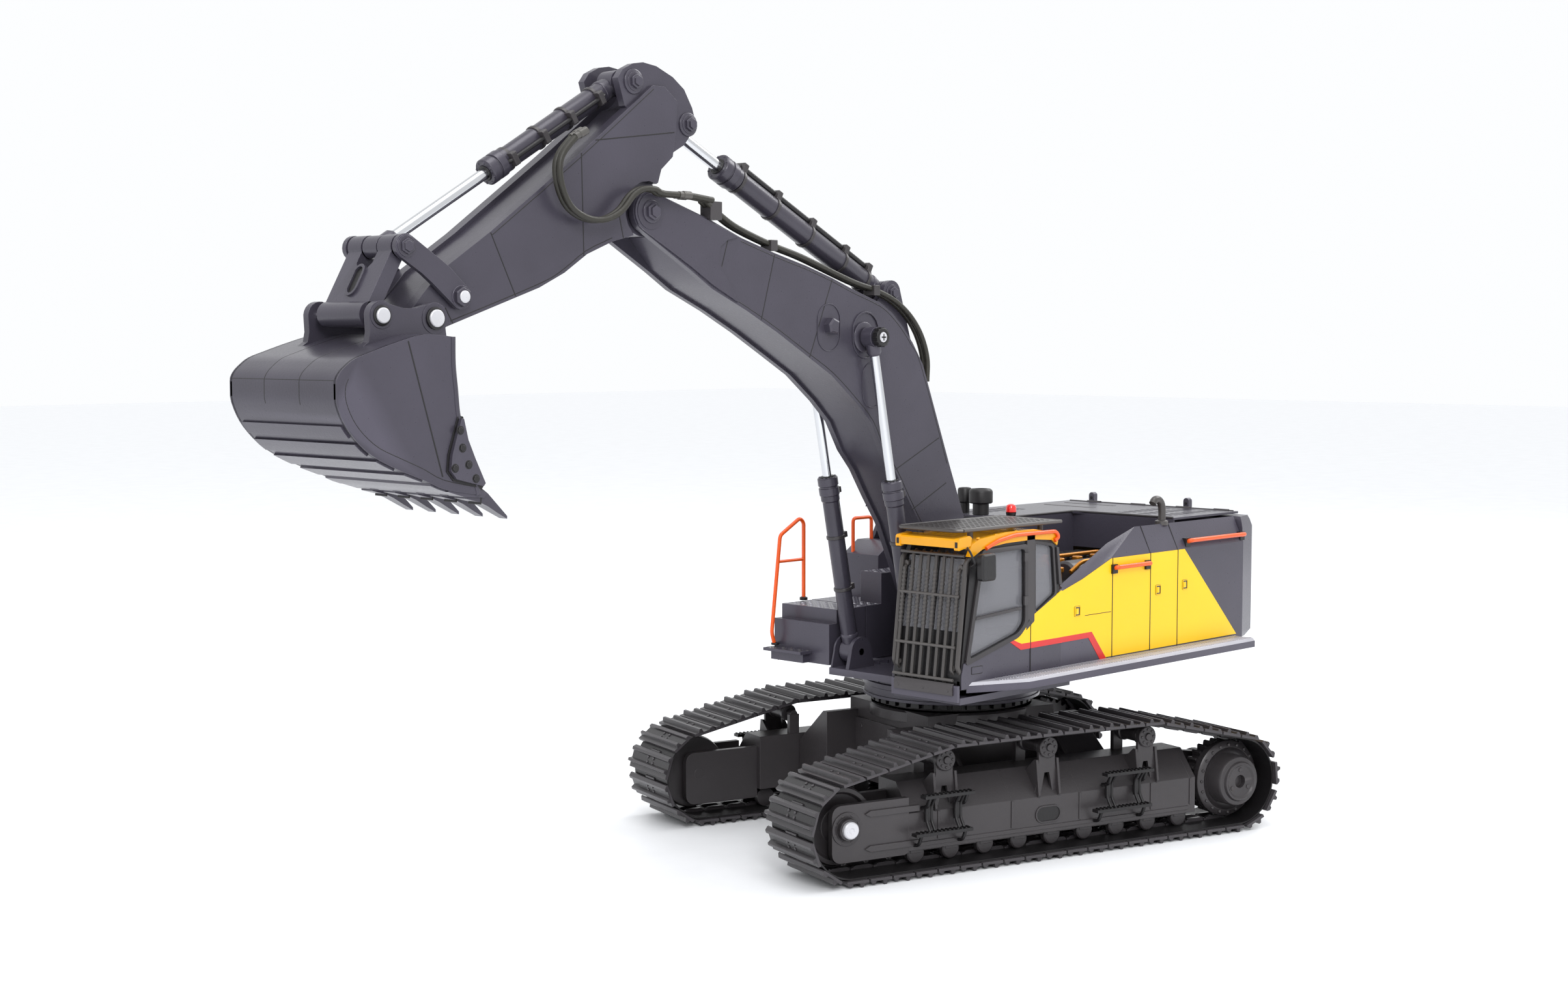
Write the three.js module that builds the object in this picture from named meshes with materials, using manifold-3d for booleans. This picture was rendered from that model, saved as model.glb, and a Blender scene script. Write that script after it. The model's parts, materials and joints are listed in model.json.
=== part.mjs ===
// A 1:14 crawler excavator: two driven tracks, a slewing upper body with a cab, and a
// digging arm of boom, stick and bucket moved by four hydraulic cylinders.
// Millimetres, +Z up, +X towards the bucket, +Y on the cab's side.
import * as THREE from 'three';
import { mergeVertices } from 'three/addons/utils/BufferGeometryUtils.js';
import Module from 'manifold-3d';

const wasm = await Module();
wasm.setup();

// ---------------------------------------------------------------- driving dimensions
// Drawn with the slew axis at x = 0, y = 0 and the ground at z = 0. The whole group is then
// moved so that its origin is the middle of the bottom of its box.
const FRAME_SHIFT_X = -111.5;
const TRACKS_YAW = -16; // degrees, undercarriage against the upper body
const GAP = 0.3; // between separate pieces

// Undercarriage
const TRACK_MID_Y = 75.8;
const SHOE_HALF = 21.7;
const CHAIN_HALF = 4.75;
const SHOE_COUNT = 47;
const WHEEL_X = 119;
const WHEEL_Z = 26.5;
const CHAIN_RADIUS = 20.5; // inner face of the chain on the end wheels
const PLATE_RISE = [2.4, 4.0]; // inner and outer face of the shoe plates, above that face
const GROUSER_RISE = 6.0;
const WHEEL_RADIUS = 19.8;
const ROLLER_RADIUS = 4.7;
const TOP_ROLLERS = [[62, 54.2], [0, 54.6], [-63, 54.2]];
const BOTTOM_ROLLER_COUNT = 9;
const BOTTOM_ROLLER_PITCH = 20.5;
const CARBODY_TOP = 66;

// Upper body
const DECK_BOTTOM = 84;
const DECK_TOP = 87.7;
const SIDE_Y = 71.4;
const HOUSE_REAR = -171.5;
const COUNTERWEIGHT_REAR = -190;
const COVER_TOP = 158.4;
const CAB_Y = [28.3, 71.4];
const CAB_OUTLINE = [
  [-1.7, 84], [78.5, 84], [78.5, 95], [71, 152], [66, 160], [45, 163], [22, 163.2], [6, 160], [1, 152],
];

// Arm pivots in x and z
const BOOM_FOOT = [4, 106];
const STICK_PIVOT = [231, 315.8];
const BUCKET_PIVOT = [355, 267.5];
const ROCKER_PIVOT = [338, 276.5];
const LINK_TOP = [365.5, 296.5];
const LINK_FOOT = [381, 268.5];
const BOOM_CYLINDER_TOP = [88.5, 259.8];
const BOOM_CYLINDER_FOOT = [55, 96];
const BOOM_CYLINDER_PIN = 1.8;
const STICK_CYLINDER_FOOT = [60, 282];
const STICK_CYLINDER_TOP = [205, 356.3];
const BUCKET_CYLINDER_FOOT = [238, 373];
// The free end of each closed loop stands off its pin by this much at rest, so that the
// clearance hole is shared evenly over the whole travel
const BOOM_EYE_OFFSET = [-0.41, 0.89];
const STICK_EYE_OFFSET = [1.1, -2.26];
const BUCKET_EYE_OFFSET = [1.37, 1.38];
const LINK_EYE_OFFSET = [-1.03, 0.46];
const BOOM_EYE_PLAY = 2.8;
const STICK_EYE_PLAY = 3.7;
const BUCKET_EYE_PLAY = 2.6;
const LINK_EYE_PLAY = 1.5;

const BOOM_HALF = 16;
const STICK_HALF = 15.5;
const STICK_ROOT_HALF = 11.5;
const BUCKET_HALF = 38;
const BUCKET_WALL = 2;
const BOOM_CYLINDER_Y = 22;
const HOSE_RADIUS = 1.7;

// ---------------------------------------------------------------- solids
function solid(geometry) {
  geometry.deleteAttribute('normal');
  geometry.deleteAttribute('uv');
  const merged = mergeVertices(geometry, 1e-4);
  return new wasm.Manifold(new wasm.Mesh({
    numProp: 3,
    vertProperties: new Float32Array(merged.attributes.position.array),
    triVerts: new Uint32Array(merged.index.array),
  }));
}

function join(...solids) {
  return solids.reduce((whole, next) => whole.add(next));
}

function cut(body, ...tools) {
  return tools.reduce((whole, next) => whole.subtract(next), body);
}

function prism(points, depth) {
  const shape = new THREE.Shape(points.map(([u, v]) => new THREE.Vector2(u, v)));
  return new THREE.ExtrudeGeometry(shape, { depth, bevelEnabled: false });
}

// An outline in x and z, between two values of y
function plateY(points, y0, y1) {
  return solid(prism(points, y1 - y0).rotateX(Math.PI / 2).translate(0, y1, 0));
}

// An outline in x and y, between two values of z
function plateZ(points, z0, z1) {
  return solid(prism(points, z1 - z0).translate(0, 0, z0));
}

// An outline in y and z, between two values of x
function plateX(points, x0, x1) {
  const turn = new THREE.Matrix4().makeBasis(
    new THREE.Vector3(0, 1, 0), new THREE.Vector3(0, 0, 1), new THREE.Vector3(1, 0, 0),
  );
  return solid(prism(points, x1 - x0).applyMatrix4(turn).translate(x0, 0, 0));
}

function box([x0, x1], [y0, y1], [z0, z1]) {
  const block = new THREE.BoxGeometry(x1 - x0, y1 - y0, z1 - z0);
  return solid(block.translate((x0 + x1) / 2, (y0 + y1) / 2, (z0 + z1) / 2));
}

// A round bar along y
function discY([x, z], radius, y0, y1, sides = 16) {
  const bar = new THREE.CylinderGeometry(radius, radius, y1 - y0, sides);
  return solid(bar.translate(x, (y0 + y1) / 2, z));
}

// A round bar along z
function discZ([x, y], radius, z0, z1, sides = 16) {
  const bar = new THREE.CylinderGeometry(radius, radius, z1 - z0, sides);
  return solid(bar.rotateX(Math.PI / 2).translate(x, y, (z0 + z1) / 2));
}

// A round bar between two points
function rod(from, to, radius, sides = 6) {
  const a = new THREE.Vector3(...from);
  const b = new THREE.Vector3(...to);
  const bar = new THREE.CylinderGeometry(radius, radius, a.distanceTo(b), sides);
  const along = b.clone().sub(a).normalize();
  bar.applyQuaternion(new THREE.Quaternion().setFromUnitVectors(new THREE.Vector3(0, 1, 0), along));
  const middle = a.add(b).multiplyScalar(0.5);
  return solid(bar.translate(middle.x, middle.y, middle.z));
}

// A bent bar through a list of points, with a ball at each bend
function rail(points, radius) {
  const bars = points.slice(1).map((point, i) => rod(points[i], point, radius));
  const balls = points.slice(1, -1).map(([x, y, z]) => (
    solid(new THREE.IcosahedronGeometry(radius * 1.05, 0).translate(x, y, z))
  ));
  return join(...bars, ...balls);
}

// A smooth tube through a list of points
function hose(points, radius, steps) {
  const path = new THREE.CatmullRomCurve3(points.map((point) => new THREE.Vector3(...point)));
  const section = new THREE.Shape();
  section.absarc(0, 0, radius, 0, Math.PI * 2);
  return solid(new THREE.ExtrudeGeometry(section, { steps, curveSegments: 4, extrudePath: path }));
}

// Points on an arc, angles in degrees
function arc([cx, cz], radius, from, to, count) {
  return Array.from({ length: count + 1 }, (_, i) => {
    const angle = THREE.MathUtils.degToRad(from + ((to - from) * i) / count);
    return [cx + radius * Math.cos(angle), cz + radius * Math.sin(angle)];
  });
}

// The outline of a belt round circles listed anticlockwise, each [x, z, radius]
function beltOutline(circles, arcSteps) {
  const legs = circles.map(([x, z, r], i) => {
    const [nextX, nextZ, nextR] = circles[(i + 1) % circles.length];
    const length = Math.hypot(nextX - x, nextZ - z);
    return Math.atan2(nextZ - z, nextX - x) - Math.acos((r - nextR) / length);
  });
  return circles.flatMap(([x, z, r], i) => {
    const start = legs[(i + circles.length - 1) % circles.length];
    let end = legs[i];
    while (end < start) end += Math.PI * 2;
    const steps = Math.max(1, Math.round(((end - start) / Math.PI) * arcSteps));
    return Array.from({ length: steps + 1 }, (_, k) => {
      const angle = start + ((end - start) * k) / steps;
      return { x: x + r * Math.cos(angle), z: z + r * Math.sin(angle), angle };
    });
  });
}

// A flat link round two pivots
function linkOutline([ax, az], ra, [bx, bz], rb) {
  return beltOutline([[ax, az, ra], [bx, bz, rb]], 8).map((point) => [point.x, point.z]);
}

function shifted([x, z], [dx, dz]) {
  return [x + dx, z + dz];
}

function bothSides(make) {
  return join(make(1), make(-1));
}

// A slab between two distances from the middle plane, on the side that sign says
function sidePlate(points, inner, outer, sign) {
  return sign > 0 ? plateY(points, inner, outer) : plateY(points, -outer, -inner);
}

function sideDisc(centre, radius, inner, outer, sign, sides = 16) {
  return sign > 0 ? discY(centre, radius, inner, outer, sides) : discY(centre, radius, -outer, -inner, sides);
}

// ---------------------------------------------------------------- materials
const paint = (color, roughness = 0.45, metalness = 0.3) => ({ color, roughness, metalness });
const SLATE = paint(0x6f6b78, 0.42);
const DARK = paint(0x5a575a, 0.5);
const BLACK = paint(0x2d2b2c, 0.6, 0.1);
const SHOE = paint(0x343233, 0.45, 0.5);
const YELLOW = paint(0xffd700, 0.4, 0.1);
const ORANGE = paint(0xe95a25, 0.4, 0.1);
const CHROME = paint(0xd8dadd, 0.15, 1);
const STEEL = paint(0xa9a9ad, 0.3, 0.9);
const GLASS = paint(0x5a585c, 0.1, 0);
const AMBER = paint(0xe8b23a, 0.2, 0);
const RED = paint(0xe62819, 0.25, 0);
const TREAD = paint(0xb9b9bf, 0.35, 0.8);
const RUBBER = paint(0x26251f, 0.7, 0);

function part(parent, name, shape, look) {
  const raw = shape.getMesh();
  const geometry = new THREE.BufferGeometry();
  geometry.setAttribute('position', new THREE.BufferAttribute(raw.vertProperties, 3));
  geometry.setIndex(new THREE.BufferAttribute(raw.triVerts, 1));
  geometry.computeVertexNormals();
  const mesh = new THREE.Mesh(geometry, new THREE.MeshStandardMaterial(look));
  mesh.name = name;
  parent.add(mesh);
  return mesh;
}

// A piece drawn for the left side, on the side that sign says
function sidePart(parent, name, shape, look, sign) {
  const mesh = part(parent, name, shape, look);
  if (sign > 0) return;
  mesh.geometry.scale(1, -1, 1);
  const corners = mesh.geometry.index;
  for (let i = 0; i < corners.count; i += 3) {
    const [b, c] = [corners.getX(i + 1), corners.getX(i + 2)];
    corners.setX(i + 1, c);
    corners.setX(i + 2, b);
  }
  mesh.geometry.computeVertexNormals();
}

// ---------------------------------------------------------------- undercarriage
// Drawn for the left side; the right side is its mirror image.
function beltCircles(rise) {
  const roller = ROLLER_RADIUS + 0.5 + rise;
  return [
    [-WHEEL_X, WHEEL_Z, CHAIN_RADIUS + rise],
    [WHEEL_X, WHEEL_Z, CHAIN_RADIUS + rise],
    ...TOP_ROLLERS.map(([x, z]) => [x, z, roller]),
  ];
}

// Evenly spaced places round the belt, with the outward direction at each
function beltPlaces(count) {
  const points = beltOutline(beltCircles(0), 40);
  const closed = [...points, points[0]];
  const lengths = closed.slice(1).map((point, i) => Math.hypot(point.x - closed[i].x, point.z - closed[i].z));
  const total = lengths.reduce((sum, length) => sum + length, 0);
  let leg = 0;
  let passed = 0;
  return Array.from({ length: count }, (_, i) => {
    const target = (total * i) / count;
    while (passed + lengths[leg] < target) {
      passed += lengths[leg];
      leg += 1;
    }
    const share = (target - passed) / lengths[leg];
    const a = closed[leg];
    const b = closed[leg + 1];
    let turn = b.angle - a.angle;
    turn -= Math.round(turn / (Math.PI * 2)) * Math.PI * 2;
    const angle = a.angle + turn * share;
    return { x: a.x + (b.x - a.x) * share, z: a.z + (b.z - a.z) * share, angle };
  });
}

function beltRing(places, rises) {
  return places.map(({ x, z, angle }, i) => {
    const rise = rises[i % rises.length];
    return [x + rise * Math.cos(angle), z + rise * Math.sin(angle)];
  });
}

function track() {
  const [plateIn, plateOut] = PLATE_RISE;
  const fine = beltPlaces(SHOE_COUNT * 5);
  const coarse = beltPlaces(SHOE_COUNT * 2);
  const profile = [plateOut, plateOut, plateOut, GROUSER_RISE, GROUSER_RISE];
  const shoes = cut(
    plateY(beltRing(fine, profile), TRACK_MID_Y - SHOE_HALF, TRACK_MID_Y + SHOE_HALF),
    plateY(beltRing(coarse, [plateIn]), TRACK_MID_Y - SHOE_HALF - 1, TRACK_MID_Y + SHOE_HALF + 1),
  );
  const chain = cut(
    plateY(beltRing(coarse, [plateIn + 0.2]), TRACK_MID_Y - CHAIN_HALF, TRACK_MID_Y + CHAIN_HALF),
    plateY(beltRing(coarse, [0]), TRACK_MID_Y - CHAIN_HALF - 1, TRACK_MID_Y + CHAIN_HALF + 1),
  );
  return join(shoes, chain);
}

function footstep(x0, x1, z) {
  const bar = box([x0, x1], [92, 97], [z, z + 1.8]);
  const leg = (x) => box([x, x + 1.8], [86, 93], [z - 6, z + 1.8]);
  return join(bar, leg(x0 + 2), leg(x1 - 4));
}

function trackFrame() {
  const section = [[60, 11.5], [88, 11.5], [88, 30], [76, 44], [60, 44]];
  const beam = cut(plateX(section, -95, 84), box([-92, 83.4], [64.7, 85.8], [10, 15.2]));
  const yoke = [[83.6, 11], [86, 10], [122, 10], [127, 14], [127, 34], [122, 38], [83.6, 38]];
  const axle = discY([WHEEL_X, WHEEL_Z], 3, 63.5, 92);
  const cap = discY([WHEEL_X, WHEEL_Z], 4.2, 88, 93, 12);
  const rearArm = plateY([[-90, 12], [-90, 42], [-121, 37], [-129, 31], [-129, 22], [-121, 14]], 60, 66);
  const motor = discY([-WHEEL_X, WHEEL_Z], 12, 56, 70.5);
  const brackets = TOP_ROLLERS.map(([x, z]) => {
    const outer = plateY([[x - 8, 28], [x - 5, z + 3], [x - 2, z + 5], [x + 2, z + 5], [x + 5, z + 3],
      [x + 8, 28]], 84.1, 86.6);
    return outer;
  });
  const steps = [footstep(51, 80, 38), footstep(-60, -30, 38), footstep(52, 85, 20), footstep(-59, -24, 20)];
  const stubs = TOP_ROLLERS.map(([x, z]) => join(
    discY([x, z], 2.2, 61, 66, 10),
    box([x - 3, x + 3], [60.5, 63.5], [40, z]),
  ));
  return join(beam, plateY(yoke, 84, 88), plateY(yoke, 63.5, 67.5), axle, cap, rearArm, motor,
    ...brackets, ...steps, ...stubs);
}

function bottomRollers() {
  const first = 77.8;
  const carrier = box([-91, 82], [66, 84.5], [9.6, 11.2]);
  const rollers = Array.from({ length: BOTTOM_ROLLER_COUNT }, (_, i) => {
    const centre = [first - i * BOTTOM_ROLLER_PITCH, 9.5];
    return join(discY(centre, 3, 65, 83, 6), discY(centre, 5.2, 81.5, 85.5, 10));
  });
  return join(carrier, ...rollers);
}

function sprocket() {
  const centre = [-WHEEL_X, WHEEL_Z];
  const teeth = discY(centre, WHEEL_RADIUS, 71.5, 80.2, 28);
  const dish = discY(centre, 20.2, 80.9, 88, 28);
  const hub = discY(centre, 13.3, 79, 96.5, 20);
  return cut(join(teeth, discY(centre, 17, 80, 81, 28), dish, hub), discY(centre, 3.3, 90, 98, 10));
}

function idler() {
  const centre = [WHEEL_X, WHEEL_Z];
  const rim = discY(centre, WHEEL_RADIUS, 70, 81.5, 28);
  const hub = discY(centre, 7, 68, 83.6, 16);
  return cut(join(rim, hub), discY(centre, 3.4, 66, 90, 16));
}

function carbody() {
  const middle = box([-40, 40], [-38, 38], [22, CARBODY_TOP]);
  const leg = (sign) => bothSides((end) => {
    const [x0, x1] = end > 0 ? [30, 60] : [-60, -30];
    const inner = sign * 30;
    const outer = sign * 59.7;
    return plateX(sign > 0 ? [[inner, 24], [outer, 16], [outer, 40], [inner, 60]]
      : [[inner, 24], [inner, 60], [outer, 40], [outer, 16]], x0, x1);
  });
  return join(middle, leg(1), leg(-1));
}

function turntableRing() {
  const blocks = 20;
  const outline = Array.from({ length: blocks * 4 }, (_, i) => {
    const angle = (2 * Math.PI * (i + (i % 2 ? 0.35 : 0))) / (blocks * 4);
    const radius = i % 4 < 2 ? 43 : 41;
    return [radius * Math.cos(angle), radius * Math.sin(angle)];
  });
  return plateZ(outline, CARBODY_TOP + GAP, 74.5);
}

const undercarriage = new THREE.Group();
undercarriage.rotation.z = THREE.MathUtils.degToRad(TRACKS_YAW);
part(undercarriage, 'carbody', carbody(), DARK);
part(undercarriage, 'turntable_ring', turntableRing(), BLACK);
for (const [side, sign] of [['left', 1], ['right', -1]]) {
  sidePart(undercarriage, `track_frame_${side}`, trackFrame(), DARK, sign);
  sidePart(undercarriage, `bottom_rollers_${side}`, bottomRollers(), DARK, sign);
  sidePart(undercarriage, `track_${side}`, track(), SHOE, sign);
  sidePart(undercarriage, `sprocket_${side}`, sprocket(), DARK, sign);
  sidePart(undercarriage, `idler_${side}`, idler(), DARK, sign);
  TOP_ROLLERS.forEach((centre, i) => {
    const roller = discY(centre, ROLLER_RADIUS, 66.3, 83.8, 14);
    sidePart(undercarriage, `top_roller_${side}_${i + 1}`, roller, DARK, sign);
  });
}

// ---------------------------------------------------------------- upper body
function upperFrame() {
  const deck = plateZ([[66, -27.9], [66, 27.9], [-2.1, 27.9], [-2.1, SIDE_Y - GAP],
    [HOUSE_REAR, SIDE_Y - GAP], [HOUSE_REAR, GAP - SIDE_Y], [27.6, GAP - SIDE_Y], [27.6, -27.9]],
  DECK_BOTTOM, DECK_TOP);
  const ear = [[-16, 86], [24, 86], ...arc(BOOM_FOOT, 12, 10, 170, 8)];
  const ears = bothSides((sign) => sidePlate(ear, 16.6, 20.6, sign));
  const footPin = discY(BOOM_FOOT, 3.5, -22.5, 22.5, 16);
  const clevis = [[44, 86], [66, 86], ...arc(BOOM_CYLINDER_FOOT, 8, 0, 180, 8)];
  const clevises = bothSides((sign) => join(
    sidePlate(clevis, 14.8, 17.3, sign),
    sidePlate(clevis, 26.7, 28, sign),
    sideDisc(BOOM_CYLINDER_FOOT, BOOM_CYLINDER_PIN, 15, 27, sign, 12),
  ));
  return join(deck, ears, footPin, clevises);
}

function inset(points, [cx, cz], distance) {
  return points.map(([x, z]) => {
    const length = Math.hypot(cx - x, cz - z);
    return [x + ((cx - x) * distance) / length, z + ((cz - z) * distance) / length];
  });
}

const CAB_MIDDLE = [38, 122];
const WINDOW_SIDE = [[61.4, 153.6], [29.5, 154.2], [29, 117], [34.5, 112.3], [72.5, 102.9]];
const WINDOW_QUARTER = [[20.5, 156.2], [6.5, 153.9], [4, 129.4], [20, 121.2]];

function cabShell() {
  const [y0, y1] = CAB_Y;
  const body = plateY(CAB_OUTLINE, y0, y1);
  const room = plateY(inset(CAB_OUTLINE, CAB_MIDDLE, 3.6), y0 + 2.6, y1 - 2.6);
  const sideWindows = [WINDOW_SIDE, WINDOW_QUARTER].map((outline) => plateY(outline, y0 - 1, y1 + 1));
  const front = plateX([[y0 + 4, 98], [y1 - 4, 98], [y1 - 5, 152], [y0 + 5, 152]], 60, 90);
  const rear = plateX([[y0 + 5, 126], [y1 - 5, 126], [y1 - 6, 151], [y0 + 6, 151]], -5, 14);
  const roofRail = rail([[61.2, 72.4, 156.5], [51.6, 72.4, 159.8], [38.2, 72.4, 161.7], [5.2, 72.4, 161.5],
    [6.2, 72.4, 156.8]], 1.3);
  const brackets = [[58, 157], [8, 158]].map(([x, z]) => rod([x, 69, z], [x, 72.4, z + 1.5], 1.2));
  return join(cut(body, room, ...sideWindows, front, rear), roofRail, ...brackets);
}

// The panes are one liner against the inside of the cab's walls, open underneath
function cabWindows() {
  const [y0, y1] = CAB_Y;
  const outer = plateY(inset(CAB_OUTLINE, CAB_MIDDLE, 4), y0 + 2.9, y1 - 2.9);
  const inner = plateY(inset(CAB_OUTLINE, CAB_MIDDLE, 5.2), y0 + 4.1, y1 - 4.1);
  return cut(outer, inner, box([-10, 90], [20, 80], [70, 96]));
}

function visor() {
  const section = [[55, 162.2], [66.2, 160.5], [77.4, 159.6], [77.4, 157.6], [79.2, 157.6], [79.2, 162.4],
    [55, 164]];
  return plateY(section, 31.6, 72);
}

function cabMirror() {
  const mount = rail([[78.4, 72.4, 159], [79.5, 77.5, 156.3], [72, 78, 153]], 0.8);
  return join(mount, box([61, 72.6], [76.8, 79.2], [141, 155]));
}

function roofGuard() {
  const plate = box([-4, 78], [28.6, 70], [164.6, 167]);
  const posts = [[10, 33], [10, 66], [48, 33], [48, 66]].map((place) => discZ(place, 1.6, 163.5, 165, 8));
  return join(plate, ...posts);
}

function frontGrille() {
  const low = [81, 88];
  const high = [73, 155];
  const at = (z) => low[0] + ((high[0] - low[0]) * (z - low[1])) / (high[1] - low[1]);
  const [y0, y1] = [28.9, 64.6];
  const bars = Array.from({ length: 8 }, (_, i) => {
    const y = y0 + ((y1 - y0) * i) / 7;
    const top = i === 0 || i === 7 ? 149 : 155;
    return rod([at(88), y, 88], [at(top), y, top], 0.9, 5);
  });
  const cross = [108.8, 133.5, 155].map((z) => rod([at(z), y0 - 0.3, z], [at(z), y1 + 0.3, z], 0.9, 5));
  const sill = box([79, 82], [28.6, 65], [85, 91]);
  return join(...bars, ...cross, sill);
}

const COVER_FRONT = [[-3.7, 130.8], [-19.7, 135.2], [-45.2, 144.2], [-75, COVER_TOP]];

// A side cover: a hollow wall with a bevelled shoulder along the top
function sideCover(front) {
  const wall = 2.5;
  const section = [[SIDE_Y, 88], [SIDE_Y, 144.4], [64.5, COVER_TOP], [61, COVER_TOP], [61, COVER_TOP - wall],
    [63, COVER_TOP - wall], [SIDE_Y - wall, 144], [SIDE_Y - wall, 88]];
  const panel = plateX(section, HOUSE_REAR, front);
  const end = box([HOUSE_REAR, HOUSE_REAR + wall], [55, SIDE_Y - 1], [88, 144]);
  return join(panel, end);
}

function leftCover() {
  const pipe = rail([[-102, 62.8, 157], [-102, 62.8, 168], [-98, 62.8, 172], [-93, 62.8, 170]], 1.8);
  const handles = [
    rail([[-46.9, 71, 139], [-46.9, 74.6, 139], [-77.1, 74.6, 139], [-77.1, 71, 139]], 0.8),
    rail([[-116.7, 68, 148.5], [-116.7, 72.6, 148.5], [-169, 72.6, 148.5], [-169, 68, 148.5]], 0.8),
  ];
  const above = plateY([...COVER_FRONT, [10, 170], [10, 130.8]], 50, 80);
  return join(cut(sideCover(-2.4), above), pipe, ...handles);
}

function engineHood() {
  const z0 = COVER_TOP - 2.2;
  const outline = [[-183.5, -60.6], [-183.5, 60.6], [-118, 60.6], [-118, 21], [-116, -8], [-25, -8],
    [-25, -60.6]];
  const top = plateZ(outline, z0 + 2.5, z0 + 4.2);
  const wall = box([-120, -118], [-38, 60], [140, z0 + 3]);
  const sideWall = box([-118.5, -25], [-10, -8], [120, z0 + 3]);
  const frontWall = box([-27, -25], [-60, -8], [100, z0 + 3]);
  return join(top, wall, sideWall, frontWall);
}

function counterweight() {
  const half = SIDE_Y - 0.8;
  const waves = Array.from({ length: 25 }, (_, i) => {
    const y = -half + 5 + ((2 * half - 10) * i) / 24;
    return [COUNTERWEIGHT_REAR + 1.2 - 1.2 * Math.cos((Math.PI * i) / 2), y];
  });
  const plan = [[HOUSE_REAR - GAP, -half], ...waves, [HOUSE_REAR - GAP, half]].reverse();
  const block = plateZ(plan, 88, COVER_TOP - 0.4);
  const lugs = [-44, 24].map((y) => box([-188, -184], [y - 2, y + 2], [157, 166]));
  return join(block, ...lugs);
}

function catwalk(front) {
  const y0 = SIDE_Y + GAP;
  return plateZ([[-163, y0], [front, y0], [front - 32, 85.4], [-163, 85.4]], 86.3, 92);
}

function stepBox() {
  const profile = [[34.3, 88], [63, 88], [63, 110], [57, 110], [57, 117.3], [34.3, 117.3]];
  const lowStep = box([62, 72], [-71, -43], [92.9, 95]);
  return join(plateY(profile, -SIDE_Y, -30.7), lowStep, box([62, 68], [-69, -45], [88, 94]));
}

function toolBox() {
  const low = plateY([[-12, 88], [34, 88], [34, 117.3], [-12, 117.3]], -SIDE_Y, -45);
  const tall = plateY([[-12, 88], [8, 88], [8, 141], [-3, 148], [-12, 148]], -SIDE_Y, -45.5);
  const stair = plateY([[-12, 88], [34, 88], [34, 117.3], [22, 117.3], [22, 134], [-12, 134]], -46, -30.7);
  const rearRail = rail([[6, -66, 140], [6, -66, 160], [-9, -66, 160], [-9, -66, 146]], 1.6);
  return join(low, tall, stair, rearRail);
}

function frontHandrail() {
  const y = -68;
  const hoop = rail([[66, y, 95.5], [61.5, y, 156], [58, y, 160.5], [48, y, 162.8], [43.4, y, 160.9],
    [43.4, y, 117.8]], 1.6);
  return join(hoop, rod([43.4, y, 140], [62.6, y, 140], 1.2));
}

function exhausts() {
  const stack = (place, pipe, cap) => join(
    discZ(place, pipe, 160.7, 170, 12),
    discZ(place, cap, 167, 176.6, 14),
  );
  const base = box([-50, -43], [-33, -15], [160.7, 162]);
  return join(stack([-45, -17], 4.6, 6.75), stack([-48, -31], 2.8, 4), base);
}

function engineBlock() {
  const block = box([-112, -22], [-6, 58], [88, 132]);
  const rocker = box([-108, -60], [2, 30], [131, 143]);
  const drum = rod([-56, 8, 134], [-26, 8, 134], 8, 14);
  const tank = rod([-104, 44, 134], [-40, 44, 134], 9, 14);
  return join(block, rocker, drum, tank);
}

function beacon() {
  return join(discZ([-20, 24], 1.3, 132.3, 167, 8), discZ([-20, 24], 2.9, 166, 171.5, 14));
}

const upper = new THREE.Group();
part(upper, 'slew_drum', discZ([0, 0], 47.5, 74.8, 83.7, 36), SLATE);
part(upper, 'upper_frame', upperFrame(), SLATE);
part(upper, 'cab_shell', cabShell(), SLATE);
part(upper, 'cab_windows', cabWindows(), GLASS);
part(upper, 'visor', visor(), AMBER);
part(upper, 'cab_mirror', cabMirror(), DARK);
part(upper, 'roof_guard', roofGuard(), DARK);
part(upper, 'front_grille', frontGrille(), DARK);
part(upper, 'left_cover', leftCover(), YELLOW);
sidePart(upper, 'right_cover', sideCover(-12.4), YELLOW, -1);
part(upper, 'engine_hood', engineHood(), SLATE);
part(upper, 'counterweight', counterweight(), SLATE);
part(upper, 'catwalk_left', catwalk(74), TREAD);
sidePart(upper, 'catwalk_right', catwalk(60), TREAD, -1);
part(upper, 'step_box', stepBox(), SLATE);
part(upper, 'tool_box', toolBox(), SLATE);
part(upper, 'front_handrail', frontHandrail(), ORANGE);
part(upper, 'exhausts', exhausts(), STEEL);
part(upper, 'engine_block', engineBlock(), STEEL);
part(upper, 'beacon', beacon(), RED);

// ---------------------------------------------------------------- arm
const BOOM_OUTLINE = [
  [194, 314], [173, 306], [129, 294], [95, 283], [76, 277], [61, 267], [51, 257], [43, 246], [22, 195],
  [10, 167], ...arc(BOOM_FOOT, 12, 175, 340, 8), [34, 142], [44, 163], [54, 177], [64, 192], [73, 202],
  [82, 217], [94, 228], [111, 241], [129, 251], [149, 262], [192, 282], [205, 290],
  ...arc(STICK_PIVOT, 9.5, -65, 100, 8),
];

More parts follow.
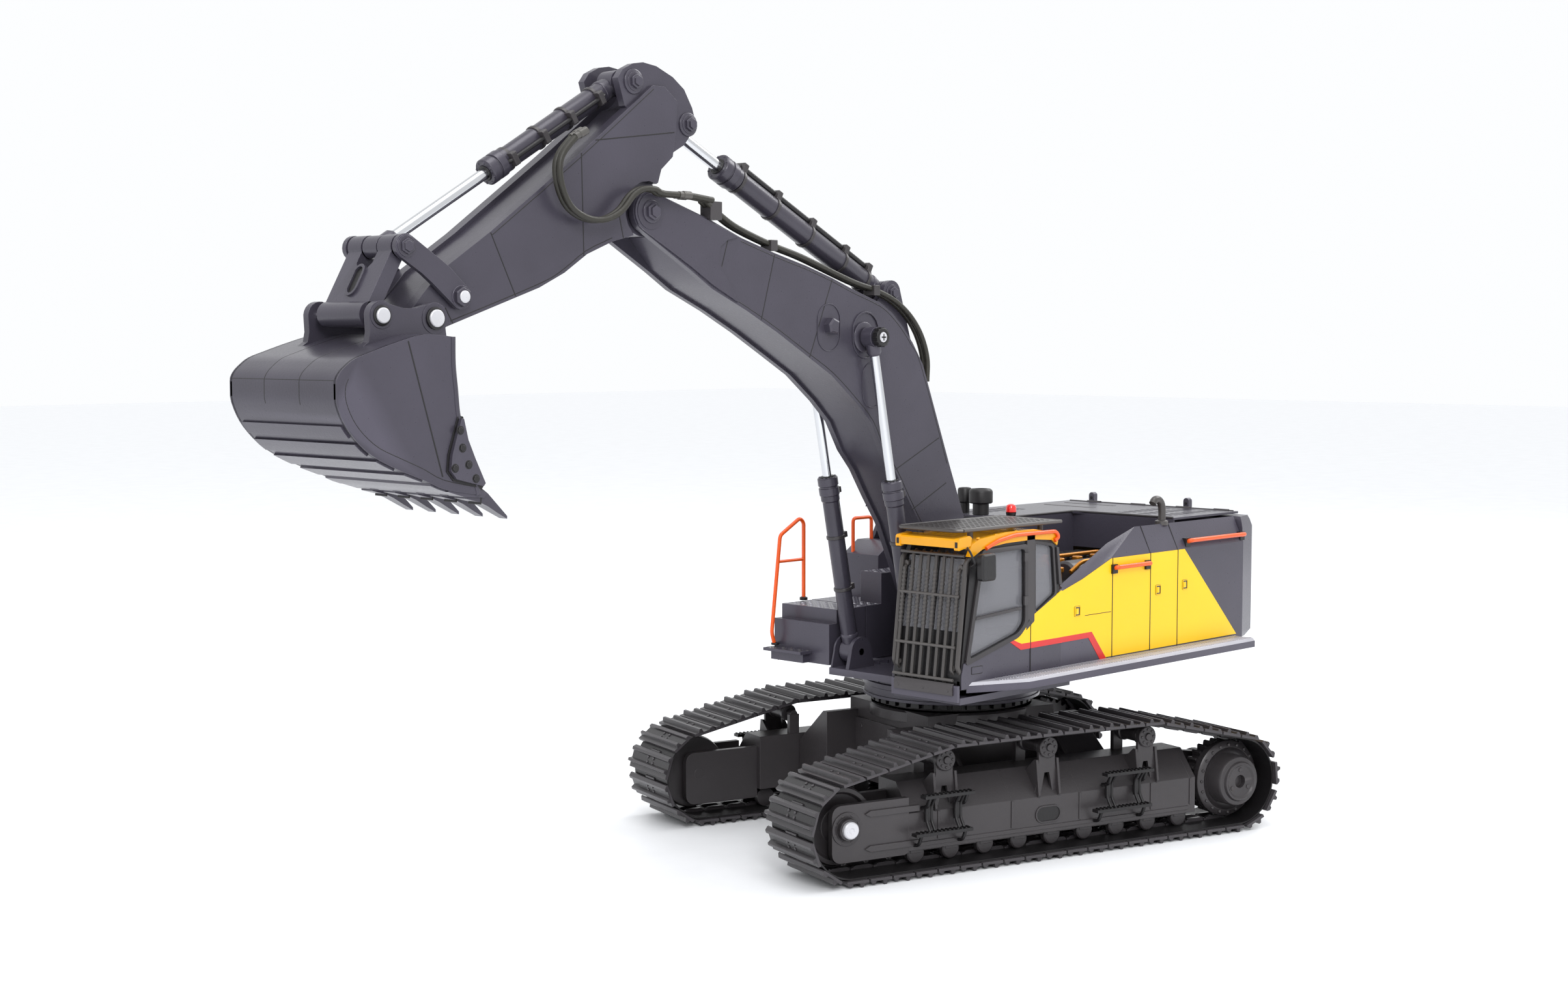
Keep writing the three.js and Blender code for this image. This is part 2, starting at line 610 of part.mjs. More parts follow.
function boom() {
  const body = plateY(BOOM_OUTLINE, -BOOM_HALF, BOOM_HALF);
  const fork = discY(STICK_PIVOT, 15.4, -12, 12, 24);
  const hollow = plateY([[40, 176], [60, 206], [90, 242], [150, 274], [196, 292], [200, 299], [176, 292], [92, 266],
    [62, 244], [34, 190]], -12, 12);
  const port = plateY([[120, 230], [150, 240], [150, 280], [120, 262]], -6, 6);
  const lug = [...arc(STICK_CYLINDER_FOOT, 6.5, 10, 170, 6), [46, 258], [76, 272]];
  const lugs = bothSides((sign) => sidePlate(lug, 6.4, 9.8, sign));
  const cylinderPin = discY(STICK_CYLINDER_FOOT, 2.2, -10, 10, 14);
  return cut(
    join(cut(body, hollow, port), lugs, cylinderPin),
    fork,
    discY(BOOM_FOOT, 3.8, -30, 30, 16),
    discY(STICK_PIVOT, 3.3, -30, 30, 16),
    discY(BOOM_CYLINDER_TOP, 2.5, -30, 30, 14),
  );
}

const STICK_OUTLINE = [
  [228, 372], [270, 340], [320, 304], [346, 287], ...arc(BUCKET_PIVOT, 7, 55, -105, 8), [341, 265],
  [294, 281], [267, 296], [240, 305], ...arc(STICK_PIVOT, 11, -60, -225, 8), [225, 329], [223, 335],
  [215, 342], [214, 352], [213, 366], [221, 372],
];
const HEAD_OUTLINE = [
  [243, 362], [247, 374], [244, 378], [238, 381], [232, 382], [224, 381], [214, 377], [207, 372], [202, 364],
  [200, 358], [201, 354], [207, 347], [216, 342],
];

function stick() {
  const body = plateY(STICK_OUTLINE, -STICK_HALF, STICK_HALF);
  const head = bothSides((sign) => sidePlate(HEAD_OUTLINE, 9.5, 13.5, sign));
  const shoulders = bothSides((sign) => sideDisc(STICK_PIVOT, 13.5, STICK_ROOT_HALF, 20, sign, 24));
  const hollow = plateY([[236, 330], [258, 306], [296, 291], [326, 280], [326, 290], [270, 328], [236, 352]],
    -11.5, 11.5);
  const port = plateY([[268, 280], [286, 280], [286, 300], [268, 306]], -6, 6);
  const footPocket = discY(BUCKET_CYLINDER_FOOT, 9.4, -9.2, 9.2, 20);
  const topPocket = discY(STICK_CYLINDER_TOP, 11.2, -9.2, 9.2, 20);
  const hollowed = cut(join(body, head), shoulders, hollow, port, footPocket, topPocket,
    discY(STICK_PIVOT, 3.3, -30, 30, 16), discY(BUCKET_PIVOT, 2.9, -30, 30, 16));
  const pins = join(
    discY(BUCKET_CYLINDER_FOOT, 1.7, -13.4, 13.4, 12),
    discY(STICK_CYLINDER_TOP, 1.6, -13.4, 13.4, 12),
  );
  const rockerStud = bothSides((sign) => join(
    sideDisc(ROCKER_PIVOT, 2.3, 12, 21, sign, 14),
    sideDisc(ROCKER_PIVOT, 3.6, 19.3, 21, sign, 14),
  ));
  return join(hollowed, pins, rockerStud);
}

const BUCKET_MIDDLE = [374, 230];
const BUCKET_BACK = [
  [357, 260.1], [371, 261], [397, 254], [408, 249], [413, 242], [413, 236], [410, 228], [405, 221],
  [397, 214], [385, 208], [372, 203], [361, 198], [345, 196],
];

function bucket() {
  const mouth = [[353, 223], [355, 229], [356, 239], [357, 249]];
  const outer = plateY([...BUCKET_BACK, ...mouth], -BUCKET_HALF, BUCKET_HALF);
  const wide = [[330, 190], [330, 258]];
  const lining = inset(BUCKET_BACK, BUCKET_MIDDLE, BUCKET_WALL);
  const inside = plateY([...lining.slice(0, -1), [345, 198.4], ...wide, [357, 258]],
    BUCKET_WALL - BUCKET_HALF, BUCKET_HALF - BUCKET_WALL);
  const ear = [...arc(BUCKET_PIVOT, 6.5, 215, 100, 5), ...arc(LINK_FOOT, 6, 90, 0, 4), [395, 254], [371, 260.4],
    [350, 260]];
  const ears = bothSides((sign) => sidePlate(ear, 19.5, 23.2, sign));
  const tooth = [[350, 200], [346, 195], [327.6, 184.4], [327.6, 186], [341, 198.4]];
  const teeth = [-2, -1, 0, 1, 2].map((i) => plateY(tooth, i * 16.3 - 3.2, i * 16.3 + 3.2));
  const cutter = bothSides((sign) => (
    sidePlate([[352, 224], [343, 201], [358, 202], [361, 214]], BUCKET_HALF - 0.5, BUCKET_HALF + 2.5, sign)
  ));
  const pinHoles = [BUCKET_PIVOT, LINK_FOOT].map((pivot) => discY(pivot, 2.9, -30, 30, 16));
  return cut(join(cut(outer, inside), ears, ...teeth, cutter), ...pinHoles);
}

function rocker(sign) {
  const plate = sidePlate(linkOutline(ROCKER_PIVOT, 5.2, LINK_TOP, 5.2), 16.2, 19, sign);
  return cut(plate, discY(ROCKER_PIVOT, 2.7, -30, 30, 16), discY(LINK_TOP, 2.5, -30, 30, 16));
}

function hLink() {
  const foot = shifted(LINK_FOOT, LINK_EYE_OFFSET);
  const bar = plateY(linkOutline(LINK_TOP, 5.2, foot, 6.4), -15, 15);
  const topSlot = discY(LINK_TOP, 12, -5.4, 5.4, 16);
  const footHole = discY(foot, 2.5 + LINK_EYE_PLAY, -30, 30, 18);
  return cut(bar, topSlot, discY(LINK_TOP, 2.5, -30, 30, 16), footHole);
}

// A pin with a cap at each end
function pin(centre, radius, half, capRadius, capThickness, capSides = 14) {
  return join(
    discY(centre, radius, -half, half, 14),
    bothSides((sign) => sideDisc(centre, capRadius, half - capThickness, half, sign, capSides)),
  );
}

// A cylinder barrel: its eye is at the start, and it points at the end
function barrel({ length, radius, bore, boreStart, eye, eyeHole, eyeHalf, gland }) {
  const tube = new THREE.CylinderGeometry(radius, radius, length - 4, 16);
  const lip = new THREE.CylinderGeometry(gland, gland, 10, 16);
  const hole = new THREE.CylinderGeometry(bore, bore, length, 16);
  tube.rotateZ(-Math.PI / 2).translate((length - 4) / 2 + 4, 0, 0);
  lip.rotateZ(-Math.PI / 2).translate(length - 5, 0, 0);
  hole.rotateZ(-Math.PI / 2).translate(boreStart + length / 2, 0, 0);
  return cut(
    join(solid(tube), solid(lip), discY([0, 0], eye, -eyeHalf, eyeHalf, 18)),
    solid(hole),
    discY([0, 0], eyeHole, -20, 20, 18),
  );
}

// A piston rod: its eye is at the start, and it points at the end
function pistonRod({ length, radius, eye, eyeHole, eyeHalf }) {
  const shaft = new THREE.CylinderGeometry(radius, radius, length - 3, 16);
  shaft.rotateZ(-Math.PI / 2).translate((length - 3) / 2 + 3, 0, 0);
  return cut(
    join(solid(shaft), discY([0, 0], eye, -eyeHalf, eyeHalf, 18)),
    discY([0, 0], eyeHole, -20, 20, 18),
  );
}

// Puts a piece drawn along +X between two pivots
function aim(mesh, from, to, y) {
  mesh.position.set(from[0], y, from[1]);
  mesh.rotation.y = -Math.atan2(to[1] - from[1], to[0] - from[0]);
}

const boomEye = shifted(BOOM_CYLINDER_FOOT, BOOM_EYE_OFFSET);
const stickEye = shifted(STICK_CYLINDER_TOP, STICK_EYE_OFFSET);
const bucketEye = shifted(BUCKET_CYLINDER_FOOT, BUCKET_EYE_OFFSET);

const arm = new THREE.Group();
part(arm, 'boom', boom(), SLATE);
part(arm, 'stick', stick(), SLATE);
part(arm, 'bucket', bucket(), SLATE);
part(arm, 'rocker_left', rocker(1), SLATE);
part(arm, 'rocker_right', rocker(-1), SLATE);
part(arm, 'h_link', hLink(), SLATE);

for (const [side, sign] of [['left', 1], ['right', -1]]) {
  const y = sign * BOOM_CYLINDER_Y;
  const tube = barrel({
    length: 94, radius: 4.3, bore: 2.75, boreStart: 14, eye: 6.2, eyeHole: 2.3 + BOOM_EYE_PLAY,
    eyeHalf: 3.4, gland: 5.3,
  });
  const lamp = box([24, 34], [-5, 5], [-12, -3.5]);
  const shape = sign > 0 ? tube : join(tube, lamp);
  aim(part(arm, `boom_barrel_${side}`, shape, SLATE), boomEye, BOOM_CYLINDER_TOP, y);
  aim(part(arm, `boom_rod_${side}`, pistonRod({
    length: 116, radius: 2.35, eye: 5.4, eyeHole: 2.5, eyeHalf: 3.6,
  }), CHROME), BOOM_CYLINDER_TOP, boomEye, y);
}
aim(part(arm, 'stick_barrel', barrel({
  length: 127, radius: 5.6, bore: 3.3, boreStart: 12, eye: 6.4, eyeHole: 2.6, eyeHalf: 5.9, gland: 6.7,
}), SLATE), STICK_CYLINDER_FOOT, stickEye, 0);
aim(part(arm, 'stick_rod', pistonRod({
  length: 128, radius: 2.9, eye: 7, eyeHole: 1.6 + STICK_EYE_PLAY + 0.3, eyeHalf: 4.8,
}), CHROME), stickEye, STICK_CYLINDER_FOOT, 0);
aim(part(arm, 'bucket_barrel', barrel({
  length: 84.5, radius: 5, bore: 2.9, boreStart: 12, eye: 6.3, eyeHole: 2 + BUCKET_EYE_PLAY, eyeHalf: 5,
  gland: 6,
}), SLATE), bucketEye, LINK_TOP, 0);
aim(part(arm, 'bucket_rod', pistonRod({
  length: 104, radius: 2.5, eye: 5.2, eyeHole: 2.5, eyeHalf: 4.8,
}), CHROME), LINK_TOP, bucketEye, 0);

part(arm, 'boom_cylinder_pin', pin(BOOM_CYLINDER_TOP, 2.2, 30, 4, 3.5), STEEL);
part(arm, 'stick_pivot_pin', pin(STICK_PIVOT, 3, 19, 5, 2.6, 6), STEEL);
part(arm, 'bucket_pin', pin(BUCKET_PIVOT, 2.6, 25.5, 4.2, 2), STEEL);
part(arm, 'link_pin', pin(LINK_TOP, 2.2, 21, 3.8, 1.7, 6), STEEL);
part(arm, 'link_bucket_pin', pin(LINK_FOOT, 2.2, 25.2, 4, 1.7), STEEL);

// Hoses
const BOOM_HOSE = [[37, 13.6, 237], [37, 13.6, 249], [42, 13.6, 261], [51, 13.6, 271], [63, 13.6, 278.5],
  [78, 13.6, 283.5], [95, 13.6, 287.5], [129, 13.6, 298], [151, 13.6, 303.6], [173, 13.6, 310.6],
  [187, 15.6, 316.4], [199, 18.4, 322]];
const LOOP_HOSE = [[229, 323.6], [234, 325.2], [241, 325], [247, 322], [254, 315], [263, 311], [273, 311],
  [282, 315], [287, 322], [289, 331], [287, 338], [279, 346], [275, 348]];
part(arm, 'boom_hose', hose(BOOM_HOSE, HOSE_RADIUS, 40), RUBBER);
part(arm, 'loop_hose_inner', hose(LOOP_HOSE.map(([x, z]) => [x, 21.2, z]), HOSE_RADIUS, 30), RUBBER);
part(arm, 'loop_hose_outer', hose(LOOP_HOSE.map(([x, z]) => [x, 25, z]), HOSE_RADIUS, 30), RUBBER);

// ---------------------------------------------------------------- the whole machine
const excavator = new THREE.Group();
excavator.add(undercarriage, upper, arm);
excavator.position.x = FRAME_SHIFT_X;

export default excavator;
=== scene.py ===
import json
import math

import bmesh
import bpy
from mathutils import Matrix, Vector
from mathutils.geometry import tessellate_polygon

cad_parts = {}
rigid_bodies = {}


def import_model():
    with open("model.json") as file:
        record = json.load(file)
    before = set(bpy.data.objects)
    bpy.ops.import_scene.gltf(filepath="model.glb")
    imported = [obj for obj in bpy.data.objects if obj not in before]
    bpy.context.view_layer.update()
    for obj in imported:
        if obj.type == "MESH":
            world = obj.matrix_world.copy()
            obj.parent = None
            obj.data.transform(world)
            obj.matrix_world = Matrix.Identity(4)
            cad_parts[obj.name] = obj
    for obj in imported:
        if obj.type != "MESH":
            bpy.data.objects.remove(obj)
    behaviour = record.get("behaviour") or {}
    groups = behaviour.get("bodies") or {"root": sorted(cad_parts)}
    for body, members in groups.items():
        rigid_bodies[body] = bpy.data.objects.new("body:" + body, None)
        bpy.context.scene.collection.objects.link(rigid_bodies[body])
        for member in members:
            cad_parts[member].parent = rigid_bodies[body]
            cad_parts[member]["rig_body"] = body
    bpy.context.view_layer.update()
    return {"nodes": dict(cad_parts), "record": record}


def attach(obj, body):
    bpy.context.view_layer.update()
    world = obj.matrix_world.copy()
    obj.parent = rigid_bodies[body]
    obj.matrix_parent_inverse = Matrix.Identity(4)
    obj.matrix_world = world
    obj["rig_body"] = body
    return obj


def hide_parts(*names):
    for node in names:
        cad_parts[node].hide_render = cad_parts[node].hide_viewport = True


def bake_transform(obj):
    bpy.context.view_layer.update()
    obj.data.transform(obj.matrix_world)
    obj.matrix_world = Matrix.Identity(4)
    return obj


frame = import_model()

# Pieces are drawn in millimetres with the slew axis at x = 0, y = 0 and the ground at z = 0,
# and placed in the frame by one of two matrices: UPPER for the body and arm, UNDER for the
# undercarriage, which is turned against the body.
JOINTS = {j["name"]: j for j in frame["record"]["behaviour"]["joints"]}
MM = 0.001
SLEW_X = JOINTS["slew"]["pos_m"][0]
WHEEL_AXIS = JOINTS["sprocket_left_spin"]["axis"]
TRACKS_YAW = -math.atan2(WHEEL_AXIS[0], WHEEL_AXIS[1])
UPPER = Matrix.Translation((SLEW_X, 0, 0)) @ Matrix.Scale(MM, 4)
UNDER = Matrix.Translation((SLEW_X, 0, 0)) @ Matrix.Rotation(TRACKS_YAW, 4, "Z") @ Matrix.Scale(MM, 4)


def pivot(joint):
    """A joint's place in x and z, in the drawing's millimetres."""
    x, _, z = JOINTS[joint]["pos_m"]
    return ((x - SLEW_X) / MM, z / MM)


BOOM_FOOT = pivot("boom_lift")
STICK_PIVOT = pivot("stick_swing")
BUCKET_PIVOT = pivot("bucket_curl")
ROCKER_PIVOT = pivot("rocker_swing")
LINK_TOP = pivot("link_swing")
BOOM_CYLINDER_TOP = pivot("boom_rod_left_pivot")
STICK_CYLINDER_FOOT = pivot("stick_barrel_pivot")
# Eyes of the open loops, which no joint in the record places
LINK_FOOT = (381.0, 268.5)
BOOM_CYLINDER_FOOT = (55.0, 96.0)
STICK_CYLINDER_TOP = (205.0, 356.3)
BUCKET_CYLINDER_FOOT = (238.0, 373.0)

# The camera solved from the photo: place in millimetres, angles in degrees
CAMERA_PLACE = (890.7, 744.0, 260.3)
CAMERA_HEADING = 224.3
CAMERA_DOWN = 4.13


# ------------------------------------------------------------------ camera, light and floor
def make_camera():
    data = bpy.data.cameras.new("camera")
    data.lens = 50.0
    data.sensor_width = 36.0
    data.clip_start = 0.01
    camera = bpy.data.objects.new("camera", data)
    bpy.context.scene.collection.objects.link(camera)
    heading = math.radians(CAMERA_HEADING)
    down = math.radians(CAMERA_DOWN)
    look = Vector((math.cos(heading) * math.cos(down), math.sin(heading) * math.cos(down), -math.sin(down)))
    camera.location = UPPER @ Vector(CAMERA_PLACE)
    camera.rotation_euler = look.to_track_quat("-Z", "Y").to_euler()
    bpy.context.scene.camera = camera


def make_light(name, place, target, size, power):
    data = bpy.data.lights.new(name, "AREA")
    data.shape = "DISK"
    data.size = size
    data.energy = power
    light = bpy.data.objects.new(name, data)
    bpy.context.scene.collection.objects.link(light)
    light.location = place
    light.rotation_euler = (Vector(target) - Vector(place)).to_track_quat("-Z", "Y").to_euler()


def make_stage():
    world = bpy.data.worlds.new("studio")
    bpy.context.scene.world = world
    world.use_nodes = True
    world.node_tree.nodes["Background"].inputs["Color"].default_value = (0.98, 0.99, 1.0, 1)
    world.node_tree.nodes["Background"].inputs["Strength"].default_value = 1.0
    bpy.ops.mesh.primitive_plane_add(size=14)
    floor = bpy.context.object
    floor.name = "floor"
    floor.data.materials.append(surface("pale_floor", (0.84, 0.85, 0.87), 0.5, tone=0.01, grain=0.0))
    bpy.context.scene.view_settings.view_transform = "Standard"
    make_light("key", (1.0, 1.2, 1.1), (0, 0, 0.15), 0.6, 12)
    make_light("rim", (-1.3, 0.2, 1.3), (0, 0, 0.2), 0.8, 10)
    make_light("top", (0.0, 0.2, 2.0), (0, 0, 0.1), 1.0, 9)
    sky = bpy.data.lights.new("sky", "SUN")
    sky.energy = 0.5
    sky.angle = 1.0
    high = bpy.data.objects.new("sky", sky)
    high.rotation_euler = (-0.5, 0.35, 0)
    bpy.context.scene.collection.objects.link(high)


# ------------------------------------------------------------------ materials
def surface(name, colour, roughness, metallic=0.0, tone=0.06, grain=0.25, scale=900.0, coat=0.0, wear=0.0,
            wear_colour=(0.55, 0.54, 0.56)):
    """A procedural surface: slow tone changes, uneven gloss, a fine grain and, if asked, rubbed edges."""
    material = bpy.data.materials.new(name)
    material.use_nodes = True
    nodes = material.node_tree.nodes
    links = material.node_tree.links
    shader = nodes["Principled BSDF"]
    shader.inputs["Metallic"].default_value = metallic
    shader.inputs["Coat Weight"].default_value = coat
    place = nodes.new("ShaderNodeTexCoord")
    cloud = nodes.new("ShaderNodeTexNoise")
    cloud.inputs["Scale"].default_value = 28.0
    cloud.inputs["Detail"].default_value = 4.0
    links.new(place.outputs["Object"], cloud.inputs["Vector"])
    ramp = nodes.new("ShaderNodeValToRGB")
    ramp.color_ramp.elements[0].position = 0.3
    ramp.color_ramp.elements[1].position = 0.7
    ramp.color_ramp.elements[0].color = (*[max(0.0, c * (1 - tone * 2)) for c in colour], 1)
    ramp.color_ramp.elements[1].color = (*[min(1.0, c * (1 + tone * 2)) for c in colour], 1)
    links.new(cloud.outputs["Fac"], ramp.inputs["Fac"])
    base = ramp.outputs["Color"]
    speck = nodes.new("ShaderNodeTexNoise")
    speck.inputs["Scale"].default_value = scale
    speck.inputs["Detail"].default_value = 3.0
    links.new(place.outputs["Object"], speck.inputs["Vector"])
    gloss = nodes.new("ShaderNodeMapRange")
    gloss.inputs["To Min"].default_value = max(0.03, roughness * 0.8)
    gloss.inputs["To Max"].default_value = min(1.0, roughness * 1.2)
    links.new(speck.outputs["Fac"], gloss.inputs["Value"])
    links.new(gloss.outputs["Result"], shader.inputs["Roughness"])
    if wear:
        shape = nodes.new("ShaderNodeNewGeometry")
        edge = nodes.new("ShaderNodeMapRange")
        edge.inputs["From Min"].default_value = 0.52
        edge.inputs["From Max"].default_value = 0.62
        edge.inputs["To Max"].default_value = wear
        links.new(shape.outputs["Pointiness"], edge.inputs["Value"])
        mix = nodes.new("ShaderNodeMix")
        mix.data_type = "RGBA"
        mix.inputs["B"].default_value = (*wear_colour, 1)
        links.new(edge.outputs["Result"], mix.inputs["Factor"])
        links.new(base, mix.inputs["A"])
        base = mix.outputs["Result"]
    links.new(base, shader.inputs["Base Color"])
    if grain:
        bump = nodes.new("ShaderNodeBump")
        bump.inputs["Strength"].default_value = grain
        bump.inputs["Distance"].default_value = 0.0002
        links.new(speck.outputs["Fac"], bump.inputs["Height"])
        links.new(bump.outputs["Normal"], shader.inputs["Normal"])
    return material


def linear(r, g, b):
    """A display colour of 0 to 255 as the linear values that Blender uses."""
    return tuple(((c / 255 + 0.055) / 1.055) ** 2.4 if c > 10 else c / 255 / 12.92 for c in (r, g, b))


def glassy(name, colour, roughness, alpha):
    material = surface(name, colour, roughness, tone=0.02, grain=0.0)
    shader = material.node_tree.nodes["Principled BSDF"]
    shader.inputs["Alpha"].default_value = alpha
    return material


SLATE = surface("slate_paint", linear(60, 57, 67), 0.3, 0.2, wear=0.25, wear_colour=linear(112, 108, 124))
DARK = surface("dark_grey_paint", linear(52, 49, 51), 0.36, 0.2, wear=0.3, wear_colour=linear(96, 92, 94))
BLACK = surface("black_paint", linear(22, 20, 22), 0.45, 0.1)
GUN = surface("gunmetal_paint", linear(70, 67, 66), 0.34, 0.3, wear=0.3, wear_colour=linear(112, 108, 106))
SHOE = surface("track_steel", linear(38, 36, 38), 0.3, 0.3, wear=0.5, wear_colour=linear(88, 84, 88))
YELLOW = surface("yellow_paint", linear(244, 196, 0), 0.42, tone=0.01, grain=0.1)
ORANGE = surface("orange_paint", linear(228, 84, 10), 0.36, coat=0.1, tone=0.03)
STRIPE = surface("red_stripe", linear(205, 22, 16), 0.35, coat=0.2, tone=0.03, grain=0.1)
CHROME = surface("chrome", (0.62, 0.63, 0.65), 0.14, 1.0, tone=0.02, grain=0.05)
STEEL = surface("bright_steel", (0.5, 0.5, 0.52), 0.28, 1.0, tone=0.05)
TREAD = surface("tread_plate", linear(176, 175, 182), 0.3, 0.35, tone=0.05)
WHITE = surface("pale_cap", linear(196, 196, 200), 0.3, 0.2, tone=0.03)
RUBBER = surface("hose_rubber", linear(38, 36, 29), 0.5, tone=0.1, grain=0.4)
CLAMP = surface("clamp_grey", linear(84, 82, 79), 0.4, 0.4)
GOLD = surface("engine_gold", linear(178, 116, 38), 0.3, 0.75)
GLASS = glassy("cab_glass", linear(132, 132, 138), 0.08, 0.55)
AMBER = glassy("amber_visor", linear(228, 158, 14), 0.2, 0.95)
RED = surface("red_lens", linear(225, 26, 16), 0.15, coat=0.8, tone=0.03, grain=0.05)


# ------------------------------------------------------------------ shapes
def arc(centre, radius, start, end, count):
    """Points on an arc, angles in degrees."""
    angles = [math.radians(start + (end - start) * i / count) for i in range(count + 1)]
    return [(centre[0] + radius * math.cos(a), centre[1] + radius * math.sin(a)) for a in angles]


def rect(x0, x1, y0, y1):
    """The corners of a rectangle."""
    return [(x0, y0), (x1, y0), (x1, y1), (x0, y1)]


def capsule(a, ra, b, rb, steps=12):
    """The outline of a flat link round two pivots."""
    along = math.degrees(math.atan2(b[1] - a[1], b[0] - a[0]))
    lean = math.degrees(math.asin((ra - rb) / math.dist(a, b)))
    return (arc(a, ra, along + 90 - lean, along + 270 + lean, steps)
            + arc(b, rb, along - 90 + lean, along + 90 - lean, steps))


class Piece:
    """One object built from closed shapes, drawn in millimetres."""

    def __init__(self, name, place=UPPER):
        self.name = name
        self.place = place
        self.mesh = bmesh.new()
        self.material = 0
        self.materials = []

    def use(self, material):
        if material not in self.materials:
            self.materials.append(material)
        self.material = self.materials.index(material)
        return self

    def add(self, corners, faces, smooth=True):
        verts = [self.mesh.verts.new(c) for c in corners]
        for face in faces:
            made = self.mesh.faces.new([verts[i] for i in face])
            made.material_index = self.material
            made.smooth = smooth
        return verts

    def loft(self, rings, closed=False):
        """Skins rings of equal length; the ends are capped unless it closes on itself."""
        count = len(rings[0])
        corners = [c for ring in rings for c in ring]
        faces = []
        spans = len(rings) if closed else len(rings) - 1
        for r in range(spans):
            a = r * count
            b = ((r + 1) % len(rings)) * count
            for i in range(count):
                j = (i + 1) % count
                faces.append((a + i, a + j, b + j, b + i))
        if not closed:
            last = (len(rings) - 1) * count
            faces.append(tuple(reversed(range(count))))
            faces.append(tuple(last + i for i in range(count)))
        return self.add(corners, faces)

    def plate_y(self, outline, y0, y1):
        return self.loft([[(x, y, z) for x, z in outline] for y in (y0, y1)])

    def plate_z(self, outline, z0, z1):
        return self.loft([[(x, y, z) for x, y in outline] for z in (z0, z1)])

    def plate_x(self, outline, x0, x1):
        return self.loft([[(x, y, z) for y, z in outline] for x in (x0, x1)])

    def layers_y(self, layers, sign=1):
        """Skins outlines in x and z, each given with its own y."""
        return self.loft([[(x, sign * y, z) for x, z in line] for line, y in layers])

    def side_plate(self, outline, inner, outer, sign=1):
        """A plate on the left side, or with sign -1 on the right."""
        return self.plate_y(outline, *sorted((sign * inner, sign * outer)))

    def box(self, x, y, z):
        return self.plate_y(rect(*x, *z), *y)

    def turned(self, centre, profile, sides=32, sign=1):
        """A wheel or pin about y: profile is a list of (y, radius)."""
        cx, cz = centre
        rings = []
        for y, radius in profile:
            rings.append([(cx + radius * math.cos(2 * math.pi * i / sides), sign * y,
                           cz + radius * math.sin(2 * math.pi * i / sides)) for i in range(sides)])
        return self.loft(rings)

    def upright(self, centre, profile, sides=24):
        """A turned piece about z: profile is a list of (z, radius)."""
        rings = [[(centre[0] + r * math.cos(2 * math.pi * i / sides), centre[1] + r * math.sin(2 * math.pi * i / sides),
                   z) for i in range(sides)] for z, r in profile]
        return self.loft(rings)

    def tube(self, points, radius, sides=12, bend=0.0):
        """A round bar through points, with bends of that radius."""
        path = [Vector(p) for p in points]
        if bend:
            path = rounded(path, bend)
        rings = []
        side = None
        for i, p in enumerate(path):
            ahead = (path[min(i + 1, len(path) - 1)] - path[max(i - 1, 0)]).normalized()
            if side is None:
                side = ahead.orthogonal().normalized()
            side = (side - ahead * side.dot(ahead)).normalized()
            up = ahead.cross(side)
            rings.append([p + radius * (side * math.cos(2 * math.pi * k / sides)
                                        + up * math.sin(2 * math.pi * k / sides)) for k in range(sides)])
        return self.loft(rings)

    def along(self, start, end, profile, sides=24, twist=0.0):
        """A turned piece between two points: profile is a list of (distance from start, radius)."""
        a, b = Vector(start), Vector(end)
        ahead = (b - a).normalized()
        side = ahead.orthogonal().normalized()
        up = ahead.cross(side)
        rings = []
        for distance, radius in profile:
            c = a + ahead * distance
            rings.append([c + radius * (side * math.cos(2 * math.pi * k / sides + twist)
                                        + up * math.sin(2 * math.pi * k / sides + twist)) for k in range(sides)])
        return self.loft(rings)

    def bolt(self, place, normal, radius=1.2, height=0.8, sides=6):
        place, normal = Vector(place), Vector(normal).normalized()
        return self.along(place - normal * 0.4, place + normal, [(0, radius), (height + 0.2, radius),
                                                                (height + 0.4, radius * 0.8)], sides)

    def bolt_ring(self, centre, reach, count, start, y, radius, height):
        """Bolts on a circle about y, the first at that angle in radians."""
        for i in range(count):
            angle = start + 2 * math.pi * i / count
            spot = (centre[0] + reach * math.cos(angle), y, centre[1] + reach * math.sin(angle))
            self.bolt(spot, (0, 1, 0), radius, height)

    def copy_turned(self, verts, matrix):
        """Copies the faces of verts through a matrix."""
        geom = list({f for v in verts for f in v.link_faces}) + list(verts)
        made = bmesh.ops.duplicate(self.mesh, geom=geom)
        new = [g for g in made["geom"] if isinstance(g, bmesh.types.BMVert)]
        bmesh.ops.transform(self.mesh, matrix=matrix, verts=new)
        return new

    def to_side(self, sign):
        """Flips the whole piece over to the right if sign is negative."""
        if sign < 0:
            bmesh.ops.transform(self.mesh, matrix=Matrix.Scale(-1, 4, (0, 1, 0)), verts=self.mesh.verts)

    def done(self, body, *nodes, bevel=0.3, sharp=35.0, slot=None, segments=2):
        bmesh.ops.transform(self.mesh, matrix=self.place, verts=self.mesh.verts)
        bmesh.ops.recalc_face_normals(self.mesh, faces=self.mesh.faces)
        limit = math.radians(sharp)
        for edge in self.mesh.edges:
            edge.smooth = len(edge.link_faces) == 2 and edge.calc_face_angle(0) < limit
        data = bpy.data.meshes.new(self.name)
        self.mesh.to_mesh(data)
        self.mesh.free()
        for material in self.materials:
            data.materials.append(material)
        piece = bpy.data.objects.new(self.name, data)
        bpy.context.scene.collection.objects.link(piece)
        if bevel:
            chamfer = piece.modifiers.new("edges", "BEVEL")
            chamfer.width = bevel * MM
            chamfer.segments = segments
            chamfer.limit_method = "ANGLE"
            chamfer.angle_limit = limit
            chamfer.harden_normals = True
        if body:
            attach(piece, body)
        if nodes:
            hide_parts(*nodes)
        return piece


